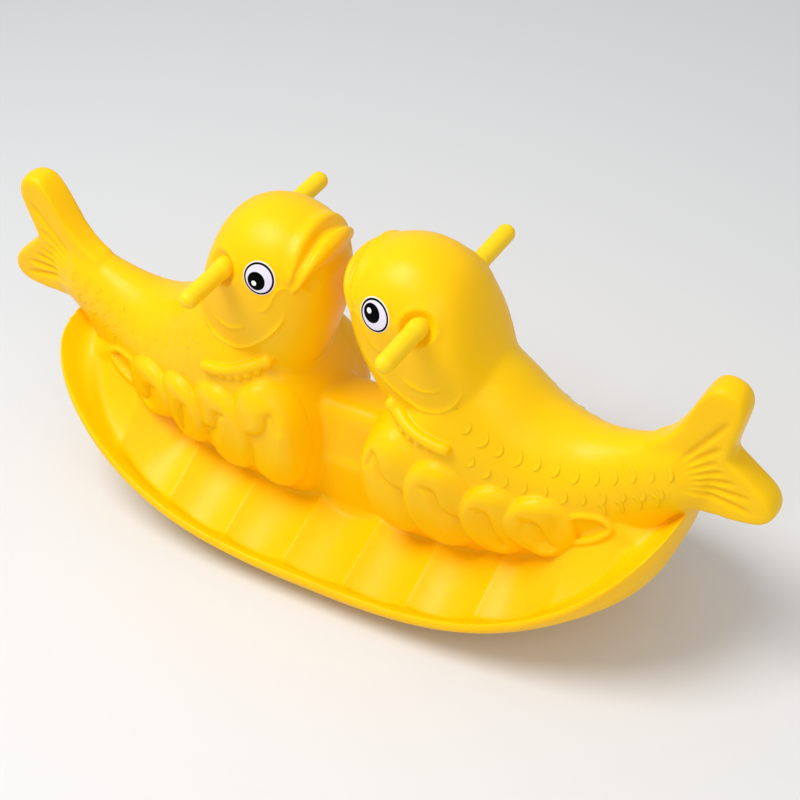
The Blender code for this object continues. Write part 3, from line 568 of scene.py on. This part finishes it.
def tailShape(fan, sunk=0.0):  # sunk is how far the first and last sections shrink, and the root
    rootX, rootZ = tail["root"]
    outline = [tuple(point) for point in smoothCurve(tail["outline"], tail["outlineSteps"])]
    rings = []
    for degrees in np.linspace(*fan, tail["sections"]):
        angle = math.radians(degrees)
        inside = float(smoothStep(min(degrees - fan[0], fan[1] - degrees), 0.0, tail["fade"]))
        size = 1 - sunk * (1 - inside)
        length = reach(tail["root"], angle, outline) * size
        ring = []
        for turn in np.linspace(0, math.pi, tail["sideSteps"]):
            along = 0.5 * (1 - math.cos(turn))
            edge = max(1 - abs(2 * along - 1) ** tail["edgePower"], 0.0) ** 0.5 if along > 0.5 else 1.0
            edge *= 1 - tail["rootSunk"] * sunk * (1 - float(smoothStep(length * along, *tail["emerge"])))
            ring.append((rootX + length * along * math.cos(angle),
                         -tail["halfThickness"] * size * edge if along > 0.02 else 0.0,
                         rootZ + length * along * math.sin(angle)))
        rings.append(ring + [(px, -py, pz) for px, py, pz in reversed(ring[1:-1])])
    work = bmesh.new()
    loops = [[work.verts.new(point) for point in ring] for ring in rings]
    bridge(work, loops)
    for loop in (loops[0], loops[-1]):
        work.faces.new(loop)
    bmesh.ops.remove_doubles(work, verts=work.verts, dist=tail["weld"])
    return meshOf(work, "tail")


# Relief that is laid on the flank
class Flank:
    def __init__(self, mesh):
        work = bmesh.new()
        work.from_mesh(mesh)
        self.tree = BVHTree.FromBMesh(work)
        work.free()

    def depth(self, x, z, side=-1):
        hit = self.tree.ray_cast(Vector((x, side, z)), Vector((0, -side, 0)))[0]
        return hit.y if hit else side * pedestal["foot"]

    def lay(self, points, proud, blur=2):  # points of the side view, evened out and a little proud
        depths = [self.depth(x, z) for x, z in points]
        padded = [depths[0]] * blur + depths + [depths[-1]] * blur
        even = [sum(padded[i:i + 2 * blur + 1]) / (2 * blur + 1) for i in range(len(depths))]
        return [(x, y - proud, z) for (x, z), y in zip(points, even)]


scroll = dict(
    height=0.0140, rearDrop=0.62, rearSpan=(0.05, 0.95), rounding=0.27, leastY=0.060, root=0.012,
    bowl=0.0085, ramp=0.0045, curl=0.20, curlWidth=0.0040,
    innerRings=(0.02, 0.72, 18), outerRings=(0.745, 1.0, 12), sides=150, lineSteps=30,
)
waves = (  # front to rear: place, size, and the crease and the ridge of the bowl in shares of the size
    dict(x=0.087, z=0.169, length=0.0485, height=0.0840,
         crease=((-0.56, 0.36), (-0.40, 0.62), (-0.20, 0.60), (-0.11, 0.39), (0.04, 0.245), (0.28, 0.17),
                 (0.60, 0.10)),
         ridge=((-0.56, 0.36), (-0.50, -0.09), (-0.20, -0.49), (0.18, -0.60), (0.60, -0.80))),
    dict(x=0.152, z=0.163, length=0.0470, height=0.0720,
         crease=((-0.30, 0.50), (-0.08, 0.51), (0.06, 0.39), (0.12, 0.20), (0.27, 0.06), (0.60, -0.02)),
         ridge=((-0.30, 0.50), (-0.16, 0.20), (-0.01, -0.226), (0.287, -0.60), (0.62, -0.78))),
    dict(x=0.217, z=0.162, length=0.0405, height=0.0570,
         crease=((-0.42, 0.42), (-0.14, 0.41), (0.00, 0.25), (0.07, 0.02), (0.17, -0.22), (0.30, -0.54)),
         ridge=((-0.42, 0.42), (-0.52, 0.10), (-0.40, -0.28), (-0.05, -0.62), (0.30, -0.78))),
    dict(x=0.269, z=0.171, length=0.0405, height=0.0450,
         crease=((-0.36, 0.34), (-0.04, 0.31), (0.14, 0.13), (0.22, -0.10), (0.32, -0.33), (0.48, -0.47)),
         ridge=((-0.36, 0.34), (-0.50, 0.05), (-0.38, -0.30), (0.00, -0.62), (0.40, -0.70))),
)


def waveHeight(wave, points):
    size = np.array((wave["length"], wave["height"]))
    level = 1 - scroll["rounding"]
    past = np.maximum(np.hypot(points[:, 0], points[:, 1]) - level, 0.0) / scroll["rounding"]
    height = scroll["height"] * np.sqrt(np.maximum(1 - past ** 2, 0.0))
    height *= 1 - scroll["rearDrop"] * smoothStep(points[:, 0], *scroll["rearSpan"])
    ridge, crease = (smoothCurve(wave[line], scroll["lineSteps"]) for line in ("ridge", "crease"))
    toRidge = nearLine(points * size, ridge * size)[0]
    toCrease = nearLine(points * size, crease * size)[0]
    height *= 1 - scroll["curl"] * np.exp(-(toCrease / scroll["curlWidth"]) ** 2)
    bowl = insideOf(points, ridge.tolist() + crease[::-1].tolist())
    bowl = bowl * smoothStep(toCrease, 0.0, scroll["ramp"])
    return height - scroll["bowl"] * bowl * toRidge / (toRidge + toCrease + 1e-6)


def waveShape(flank, wave):  # rolled scroll with a bowl in it, rooted in the flank
    shares = np.concatenate([np.linspace(*scroll["innerRings"]), np.linspace(*scroll["outerRings"])])
    angles = np.linspace(0, 2 * math.pi, scroll["sides"], endpoint=False)
    front, back = [], []
    for share in shares:
        spots = np.stack([share * np.cos(angles), share * np.sin(angles)], axis=1)
        outer, inner = [], []
        for (u, w), height in zip(spots, waveHeight(wave, spots)):
            x, z = wave["x"] + wave["length"] * u, wave["z"] + wave["height"] * w
            base = min(flank.depth(x, z), -scroll["leastY"])
            outer.append((x, base - height, z))
            inner.append((x, base + scroll["root"], z))
        front.append(outer)
        back.append(inner)
    return loft("wave", front + back[::-1])


leaf = dict(
    path=((0.2985, -0.0575, 0.1905), (0.3094, -0.0554, 0.1960), (0.3200, -0.0524, 0.1975),
          (0.3338, -0.0487, 0.1965), (0.3465, -0.0473, 0.1855), (0.3359, -0.0523, 0.1720),
          (0.3251, -0.0550, 0.1650), (0.3115, -0.0572, 0.1590), (0.2975, -0.0567, 0.1535)),
    band=0.0046, steps=60,
)
fin = dict(
    path=((0.078, 0.282), (0.092, 0.273), (0.110, 0.266), (0.129, 0.2605), (0.150, 0.2570), (0.170, 0.2555)),
    radii=(0.0092, 0.0084, 0.0072, 0.0067, 0.0070, 0.0078), proud=0.0036, steps=72, sides=24,
    fingers=7, fingerSpan=(0.16, 0.84), fingerRadius=0.0052, fingerDrop=0.013, fingerLeast=0.60,
    fingerLean=-0.003, fingerProud=0.0022, fingerSteps=7,
)
upperLip = dict(
    path=(  # x, y, z and radius from the corner of the mouth to the middle
        (0.0400, 0.0590, 0.3850, 0.0018), (0.0345, 0.0535, 0.3955, 0.0050), (0.0300, 0.0425, 0.4080, 0.0086),
        (0.0270, 0.0240, 0.4160, 0.0120), (0.0262, 0.0, 0.4190, 0.0134),
    ),
    steps=40, sides=28,
)


def finShapes(flank):
    path = smoothCurve(fin["path"], fin["steps"])
    laid = flank.lay(path, fin["proud"])
    spread = np.linspace(0, 1, len(fin["radii"]))
    radii = np.interp(np.linspace(0, 1, len(laid)), spread, fin["radii"])
    shapes = [rod(laid, radii, sides=fin["sides"])]
    for share in np.linspace(*fin["fingerSpan"], fin["fingers"]):
        x, z = path[int(share * (fin["steps"] - 1))]
        swell = fin["fingerLeast"] + (1 - fin["fingerLeast"]) * math.sin(math.pi * share)
        length = fin["fingerDrop"] * swell
        line = [(x + fin["fingerLean"] * t, z - length * t) for t in np.linspace(0, 1, fin["fingerSteps"])]
        shapes.append(rod(flank.lay(line, fin["fingerProud"]), [fin["fingerRadius"]] * len(line)))
    return shapes


def lipShape():
    rows = [tuple(row) for row in smoothCurve(upperLip["path"], upperLip["steps"])]
    rows += [(x, -y, z, radius) for x, y, z, radius in reversed(rows[:-1])]
    return rod([row[:3] for row in rows], [row[3] for row in rows], sides=upperLip["sides"])


def leafShape():
    path = smoothCurve(leaf["path"], leaf["steps"])
    return rod(path, [leaf["band"]] * len(path))


# Ridges and grooves pressed in the finished skin along a path on the near side
skinLines = dict(
    hood=dict(
        height=0.0044, width=0.0078,
        path=((0.0400, 0.0, 0.4430), (0.0395, -0.0200, 0.4395), (0.0390, -0.0370, 0.4310),
              (0.0385, -0.0490, 0.4190), (0.0390, -0.0560, 0.4070), (0.0415, -0.0610, 0.3930)),
    ),
    hoodValley=dict(
        height=-0.0038, width=0.0050,
        path=((0.0300, 0.0, 0.4350), (0.0298, -0.0140, 0.4335), (0.0292, -0.0343, 0.4255),
              (0.0305, -0.0475, 0.4145), (0.0330, -0.0550, 0.4030), (0.0375, -0.0590, 0.3910)),
    ),
    underLip=dict(
        height=-0.0040, width=0.0070,
        path=((0.0160, 0.0, 0.4020), (0.0175, -0.0210, 0.4000), (0.0220, -0.0380, 0.3940),
              (0.0280, -0.0500, 0.3860)),
    ),
    cheek=dict(
        height=0.0013, width=0.0021,
        path=((0.0400, -0.0590, 0.3870), (0.0455, -0.0622, 0.3925), (0.0530, -0.0655, 0.3895),
              (0.0590, -0.0685, 0.3810), (0.0640, -0.0700, 0.3700), (0.0715, -0.0710, 0.3600),
              (0.0830, -0.0712, 0.3545)),
    ),
    gillInner=dict(
        height=0.0022, width=0.0019,
        path=((0.1560, -0.0634, 0.3300), (0.1480, -0.0655, 0.3220), (0.1390, -0.0670, 0.3175),
              (0.1278, -0.0687, 0.3162), (0.1150, -0.0700, 0.3200), (0.1040, -0.0700, 0.3260)),
    ),
    gillOuter=dict(
        height=0.0027, width=0.0021,
        path=((0.1760, -0.0600, 0.3280), (0.1700, -0.0600, 0.3130), (0.1600, -0.0650, 0.2990),
              (0.1450, -0.0660, 0.2895), (0.1253, -0.0660, 0.2860), (0.1080, -0.0660, 0.2930),
              (0.0900, -0.0670, 0.3060), (0.0720, -0.0670, 0.3230), (0.0570, -0.0650, 0.3420),
              (0.0480, -0.0610, 0.3620)),
    ),
)
lineMesh = dict(steps=40, reach=4, fadeIn=(-0.02, 0.14), fadeOut=(0.84, 1.02), middle=0.001)
dish = dict(  # seat of a grip in the flank of the head
    x=0.1265, z=0.3975, bore=0.0125, rim=0.0205, depth=0.0052,
    lip=0.0011, lipOut=0.001, lipWidth=0.0035, flankY=0.04,
)
skinMesh = dict(
    grain=0.0020, fineGrain=0.0015, quickGrain=0.0045, quickFineGrain=0.0030,
    meltRounds=16, meltGrain=0.0035, lastRounds=7, seam=0.0001, triangles=190000, quickTriangles=60000,
)


def pressLine(points, line):
    path = smoothCurve(line["path"], lineMesh["steps"])
    lift = np.zeros(len(points))
    margin = lineMesh["reach"] * line["width"]
    close = np.all((points > path.min(axis=0) - margin) & (points < path.max(axis=0) + margin), axis=1)
    away, share = nearLine(points[close], path)
    fade = 1 - smoothStep(share, *lineMesh["fadeOut"])
    if abs(path[0][1]) > lineMesh["middle"]:  # a line from the middle of the face has no end there
        fade = smoothStep(share, *lineMesh["fadeIn"]) * fade
    lift[close] = line["height"] * np.exp(-(away / line["width"]) ** 2) * fade
    return lift


def pressRays(points):  # fan of grooves in the sides of the tail
    rootX, rootZ = tail["root"]
    fadeIn, fadeOut = tail["rayFade"]
    lift = np.zeros(len(points))
    for degrees in np.linspace(*tail["raySpan"], tail["rays"]):
        angle = math.radians(degrees)
        length = reach(tail["root"], angle, tail["outline"])
        start, end = (length * share for share in tail["rayReach"])
        along = (points[:, 0] - rootX) * math.cos(angle) + (points[:, 2] - rootZ) * math.sin(angle)
        across = (points[:, 2] - rootZ) * math.cos(angle) - (points[:, 0] - rootX) * math.sin(angle)
        window = smoothStep(along, start, start + fadeIn) * (1 - smoothStep(along, end - fadeOut, end))
        lift -= tail["rayDepth"] * np.exp(-(across / tail["rayWidth"]) ** 2) * window
    return lift * smoothStep(-points[:, 1], *tail["raySides"])


def skinShape():
    grain = skinMesh["grain"]
    fineGrain = skinMesh["fineGrain"]
    masses = [fishShape("head", headForm), fishShape("body", bodyForm), tailShape(tail["fan"]),
              blockShape(pedestal), blockShape(saddleBlock)]
    plain = joinShapes("plainFish", masses)
    melt(plain, grain, int(skinMesh["meltRounds"] * (skinMesh["meltGrain"] / grain) ** 2))
    flank = Flank(plain.data)
    shapes = [plain.data, boatShape(), tailShape(tail["crispFan"], tail["sunk"]), leafShape()]
    shapes += [waveShape(flank, wave) for wave in waves] + finShapes(flank) + [lipShape()]
    skin = joinShapes("bodySkin", shapes)
    bpy.data.objects.remove(plain)
    melt(skin, fineGrain, skinMesh["lastRounds"])
    work = bmesh.new()
    work.from_mesh(skin.data)
    for normal in ((1, 0, 0), (0, -1, 0)):  # keep the quarter at +x, -y
        bmesh.ops.bisect_plane(work, geom=work.verts[:] + work.edges[:] + work.faces[:], dist=1e-6,
                               plane_co=(0, 0, 0), plane_no=normal, clear_inner=True)
    work.to_mesh(skin.data)
    work.free()
    return skin


def readVectors(items, key):
    values = np.empty(len(items) * 3, np.float32)
    items.foreach_get(key, values)
    return values.reshape(-1, 3).astype(float)


def pressRelief(skin):
    mesh = skin.data
    points = readVectors(mesh.vertices, "co")
    normals = readVectors(mesh.vertex_normals, "vector")
    onMiddle, onKeel = (np.abs(points[:, axis]) < skinMesh["seam"] for axis in (0, 1))
    lift = sum(pressLine(points, line) for line in skinLines.values()) + pressRays(points)
    away = np.hypot(points[:, 0] - dish["x"], points[:, 2] - dish["z"])
    side = (points[:, 1] < -dish["flankY"]).astype(float)
    lift -= side * dish["depth"] * (1 - smoothStep(away, dish["bore"], dish["rim"]))
    lift += side * dish["lip"] * np.exp(-((away - dish["rim"] - dish["lipOut"]) / dish["lipWidth"]) ** 2)
    points += normals * lift[:, None]
    points[:, 2] = np.maximum(points[:, 2], 0.0)
    points[onMiddle, 0] = 0.0
    points[onKeel, 1] = 0.0
    mesh.vertices.foreach_set("co", points.astype(np.float32).ravel())
    mesh.update()


def mirrorQuarters(skin, triangles):
    mirror = skin.modifiers.new("mirror", "MIRROR")
    mirror.use_axis = (True, True, False)
    mirror.merge_threshold = skinMesh["seam"]
    settle(skin)
    thin = skin.modifiers.new("thin", "DECIMATE")
    thin.ratio = min(1.0, triangles / sum(len(face.vertices) - 2 for face in skin.data.polygons))
    thin.use_collapse_triangulate = True
    settle(skin)
    skin.data.shade_smooth()
    return skin


# Hand grips: domed sleeves with a slight collar where they leave the head
grip = dict(
    radius=0.011, tip=0.141, inner=0.030, edge=0.001, steps=72, domeSteps=14, sharp=40,
    collar=0.0009, collarAt=(0.062, 0.072), collarRamp=0.003, collarRun=(0.058, 0.078, 12),
)


def gripShape(name, end, side, material):
    radius, edge = grip["radius"], grip["edge"]
    profile = [(0.0, grip["inner"]), (radius - edge, grip["inner"]), (radius, grip["inner"] + edge)]
    low, high = grip["collarAt"]
    for y in np.linspace(*grip["collarRun"]):
        swell = smoothStep(y, low - grip["collarRamp"], low) - smoothStep(y, high, high + grip["collarRamp"])
        profile.append((radius + float(grip["collar"] * swell), y))
    for angle in np.linspace(0, math.pi / 2, grip["domeSteps"]):
        profile.append((radius * math.cos(angle), grip["tip"] - radius + radius * math.sin(angle)))
    profile[-1] = (0.0, grip["tip"])
    work = bmesh.new()
    rings = []
    for out, y in profile:
        angles = np.linspace(0, 2 * math.pi, grip["steps"], endpoint=False) if out else (0.0,)
        rings.append([work.verts.new((end * dish["x"] + out * math.cos(a), side * y,
                                      dish["z"] + out * math.sin(a))) for a in angles])
    bridge(work, rings)
    piece = keep(name, meshOf(work, name), material)
    piece.data.shade_smooth()
    piece.data.set_sharp_from_angle(angle=math.radians(grip["sharp"]))
    return piece


# Eye stickers, bent to the cheek
eye = dict(
    x=0.0755, z=0.4005, radius=0.0198, thickness=0.0005, glue=0.0002, rings=14, steps=72, sharp=50,
    fitSteps=25, fitReach=1.03, rimWidth=0.03, rimDrop=0.8,  # grid for the bend, and the pressed edge
)
eyeTurns = {(-1, -1): 226, (1, -1): 150, (-1, 1): 315, (1, 1): 40}  # where each pupil points, in degrees


def bendTerms(u, v):  # surface of the third order
    return np.stack([u * 0 + 1, u, v, u * u, u * v, v * v, u ** 3, u * u * v, u * v * v, v ** 3], axis=-1)


def eyeShape(name, end, side, flank, material):
    radius = eye["radius"]
    turn = math.radians(eyeTurns[end, side])
    work = bmesh.new()
    layer = work.loops.layers.uv.new("print")
    rings = [[work.verts.new((0, 0, 0))]]
    spots = {rings[0][0]: (0.0, 0.0)}
    for share in np.linspace(0, 1, eye["rings"] + 1)[1:]:
        ring = []
        for a in np.linspace(0, 2 * math.pi, eye["steps"], endpoint=False):
            vert = work.verts.new((0, 0, 0))
            spots[vert] = (share * math.cos(a), share * math.sin(a))
            ring.append(vert)
        rings.append(ring)
    run = np.linspace(-1, 1, eye["fitSteps"])
    grid = np.array([(u, v) for u in run for v in run if math.hypot(u, v) <= eye["fitReach"]])
    depths = np.array([abs(flank.depth(end * eye["x"] + radius * u, eye["z"] + radius * v, side))
                       for u, v in grid])
    terms = bendTerms(grid[:, 0], grid[:, 1])
    bend = np.linalg.lstsq(terms, depths, rcond=None)[0]
    clear = float(np.max(depths - terms @ bend)) + eye["glue"]
    for vert, (u, v) in spots.items():
        edge = max(0.0, math.hypot(u, v) - (1 - eye["rimWidth"])) / eye["rimWidth"]
        rise = eye["thickness"] * (1 - edge * eye["rimDrop"])  # the rim of the sticker lies down on the skin
        y = float(bendTerms(u, v) @ bend) + clear + rise
        vert.co = (end * eye["x"] + radius * u, side * y, eye["z"] + radius * v)
    for face in bridge(work, rings):
        for loop in face.loops:
            u, v = spots[loop.vert]
            loop[layer].uv = (0.5 + 0.5 * (u * math.cos(turn) + v * math.sin(turn)),
                              0.5 + 0.5 * (v * math.cos(turn) - u * math.sin(turn)))
    bmesh.ops.recalc_face_normals(work, faces=work.faces)
    if sum(face.normal.y for face in work.faces) * side < 0:
        bmesh.ops.reverse_faces(work, faces=work.faces)
    piece = keep(name, meshOf(work, name, outward=False), material)
    wall = piece.modifiers.new("thickness", "SOLIDIFY")
    wall.thickness = eye["thickness"]
    wall.offset = -1.0
    settle(piece)
    piece.data.shade_smooth()
    piece.data.set_sharp_from_angle(angle=math.radians(eye["sharp"]))
    return piece


# Scales: Geometry Nodes set crescent plates along rows that are cast on the flank
scales = dict(
    rows=(  # x and z along each row, in side view
        ((0.160, 0.296), (0.195, 0.275), (0.221, 0.2605), (0.243, 0.2535), (0.266, 0.2495), (0.300, 0.2445),
         (0.330, 0.2500), (0.365, 0.2610), (0.398, 0.2715)),
        ((0.186, 0.2465), (0.200, 0.2385), (0.214, 0.2310), (0.240, 0.2240), (0.270, 0.2215),
         (0.301, 0.2196), (0.325, 0.2240), (0.350, 0.2320), (0.390, 0.2450)),
        ((0.330, 0.2080), (0.345, 0.2140), (0.368, 0.2260), (0.385, 0.2330)),
    ),
    pitch=0.0195, size=0.0110, height=0.0014, jitter=(0.86, 1.10), seed=4, rowSteps=60, castFrom=-0.3,
    profile=((0.30, -0.30), (0.62, 0.10), (0.84, 0.75), (0.94, 1.0), (1.0, 0.85), (1.06, -0.6)),
    arc=62, arcSteps=13, endFade=(1.35, 0.7), endDrop=0.25,
)


def scalePlate():  # one scale seen from outside: +x to the tail, +z off the skin
    work = bmesh.new()
    tighten, power = scales["endFade"]
    rows = []
    for radius, height in scales["profile"]:
        row = []
        for a in np.radians(np.linspace(-scales["arc"], scales["arc"], scales["arcSteps"])):
            fade = math.cos(a * tighten) ** power
            rise = height * fade - scales["endDrop"] * (1 - fade)
            row.append(work.verts.new((radius * math.cos(a), radius * math.sin(a), rise)))
        rows.append(row)
    bridge(work, rows[::-1], closed=False)
    mesh = meshOf(work, "scalePlate", outward=False)
    mesh.shade_smooth()
    return keep("scalePlate", mesh)


class Tree:  # a Geometry Nodes group with named inputs
    def __init__(self, name, inputs):
        self.group = bpy.data.node_groups.new(name, "GeometryNodeTree")
        self.slots = {}
        self.group.interface.new_socket("Geometry", in_out="INPUT", socket_type="NodeSocketGeometry")
        for label, kind, value in inputs:
            slot = self.group.interface.new_socket(label, in_out="INPUT", socket_type=kind)
            self.slots[label] = (slot.identifier, value)
        self.group.interface.new_socket("Geometry", in_out="OUTPUT", socket_type="NodeSocketGeometry")
        self.inputs = self.group.nodes.new("NodeGroupInput")

    def add(self, kind, settings=None, **sockets):
        node = self.group.nodes.new(kind)
        for key, value in (settings or {}).items():
            setattr(node, key, value)
        for key, value in sockets.items():
            if isinstance(value, bpy.types.NodeSocket):
                self.group.links.new(value, inputOf(node, key))
            else:
                inputOf(node, key).default_value = value
        return node

    def given(self, label):
        return self.inputs.outputs[label]

    def finish(self, geometry, material):
        real = self.add("GeometryNodeRealizeInstances", Geometry=geometry)
        dressed = self.add("GeometryNodeSetMaterial", Geometry=real.outputs[0], Material=material)
        out = self.group.nodes.new("NodeGroupOutput")
        self.group.links.new(dressed.outputs[0], out.inputs[0])

    def apply(self, piece):
        grow = piece.modifiers.new(self.group.name, "NODES")
        grow.node_group = self.group
        for identifier, value in self.slots.values():
            grow[identifier] = value
        return settle(piece)


def scalesTree(skin, plate, material):
    tree = Tree("scaleRows", (
        ("Pitch", "NodeSocketFloat", scales["pitch"]), ("Size", "NodeSocketFloat", scales["size"]),
        ("Height", "NodeSocketFloat", scales["height"]), ("Seed", "NodeSocketInt", scales["seed"]),
    ))
    least, most = scales["jitter"]
    rows = tree.add("GeometryNodeMeshToCurve", Mesh=tree.given("Geometry"))
    spaced = tree.add("GeometryNodeCurveToPoints", {"mode": "LENGTH"}, Curve=rows.outputs[0],
                      Length=tree.given("Pitch"))
    body = tree.add("GeometryNodeObjectInfo", Object=skin)
    cast = tree.add("GeometryNodeRaycast", Target_Geometry=body.outputs["Geometry"], Ray_Direction=(0, 1, 0))
    marked = tree.add("GeometryNodeStoreNamedAttribute", {"data_type": "FLOAT_VECTOR"},
                      Geometry=spaced.outputs["Points"], Name="skinNormal", Value=cast.outputs["Hit Normal"])
    seated = tree.add("GeometryNodeSetPosition", Geometry=marked.outputs[0],
                      Position=cast.outputs["Hit Position"])
    normal = tree.add("GeometryNodeInputNamedAttribute", {"data_type": "FLOAT_VECTOR"}, Name="skinNormal")
    upright = tree.add("FunctionNodeAlignRotationToVector", {"axis": "Z"}, Vector=normal.outputs[0])
    along = tree.add("FunctionNodeAlignRotationToVector", {"axis": "X", "pivot_axis": "Z"},
                     Rotation=upright.outputs[0], Vector=spaced.outputs["Tangent"])
    jitter = tree.add("FunctionNodeRandomValue", {"data_type": "FLOAT"}, at2=least, at3=most,
                      Seed=tree.given("Seed"))
    width = tree.add("ShaderNodeMath", {"operation": "MULTIPLY"}, at0=tree.given("Size"),
                     at1=jitter.outputs[1])
    stretch = tree.add("ShaderNodeCombineXYZ", X=width.outputs[0], Y=width.outputs[0],
                       Z=tree.given("Height"))
    shape = tree.add("GeometryNodeObjectInfo", Object=plate)
    placed = tree.add("GeometryNodeInstanceOnPoints", Points=seated.outputs[0],
                      Instance=shape.outputs["Geometry"], Rotation=along.outputs[0], Scale=stretch.outputs[0])
    tree.finish(placed.outputs[0], material)
    return tree


def rowLines():  # the rows as edge chains in front of the flank
    points, edges = [], []
    for row in scales["rows"]:
        curve = smoothCurve(row, scales["rowSteps"])
        edges += [(len(points) + i, len(points) + i + 1) for i in range(len(curve) - 1)]
        points += [(x, scales["castFrom"], z) for x, z in curve]
    mesh = bpy.data.meshes.new("scaleRows")
    mesh.from_pydata(points, edges, [])
    return keep("fishScales", mesh)


def fishScales(skin, material):
    plate = scalePlate()
    piece = scalesTree(skin, plate, material).apply(rowLines())
    bpy.data.objects.remove(plate)
    work = bmesh.new()
    work.from_mesh(piece.data)
    for flip in ((-1, 1, 1), (1, -1, 1)):  # the other fish, then the far flanks
        copy = bmesh.ops.duplicate(work, geom=work.verts[:] + work.edges[:] + work.faces[:])["geom"]
        for vert in [item for item in copy if isinstance(item, bmesh.types.BMVert)]:
            vert.co = Vector(a * b for a, b in zip(vert.co, flip))
        bmesh.ops.reverse_faces(work, faces=[item for item in copy if isinstance(item, bmesh.types.BMFace)])
    work.to_mesh(piece.data)
    work.free()
    piece.data.shade_smooth()
    return piece


def seat(piece, slot, *nodes):
    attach(piece, "root")
    if nodes:
        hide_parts(*nodes)


setCamera(photoView)
setStudio(studio)
print("camera and studio set")

bodyYellow = yellowPlastic("bodyYellow", mouldedYellow)
gripYellow = yellowPlastic("gripYellow", {**mouldedYellow, **gripTint})
vinyl = stickerVinyl(eyePrint)
steel = platedSteel(tubeSteel)
print("finishes made")

skin = skinShape()
pressRelief(skin)
mirrorQuarters(skin, skinMesh["triangles"])
skin.data.materials.clear()
skin.data.materials.append(bodyYellow)
seat(skin, "yellow_plastic", "body_shell")
print("body skin:", len(skin.data.polygons), "faces")

scalePiece = fishScales(skin, bodyYellow)
seat(scalePiece, "yellow_plastic")
print("scales set")

flank = Flank(skin.data)
for end, fish in ((-1, "left"), (1, "right")):
    for side, hand in ((-1, "near"), (1, "far")):
        gripPiece = gripShape(f"grip_{fish}_{hand}", end, side, gripYellow)
        seat(gripPiece, "grip_plastic", f"hand_grip_{fish}_{hand}")
        eyePiece = eyeShape(f"eye_{fish}_{hand}", end, side, flank, vinyl)
        seat(eyePiece, "sticker_vinyl", f"eye_sticker_{fish}_{hand}")
    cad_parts[f"handle_core_{fish}"].material_slots[0].material = steel
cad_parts["vent_plug"].material_slots[0].material = gripYellow
print("grips, eyes and hidden pieces dressed")
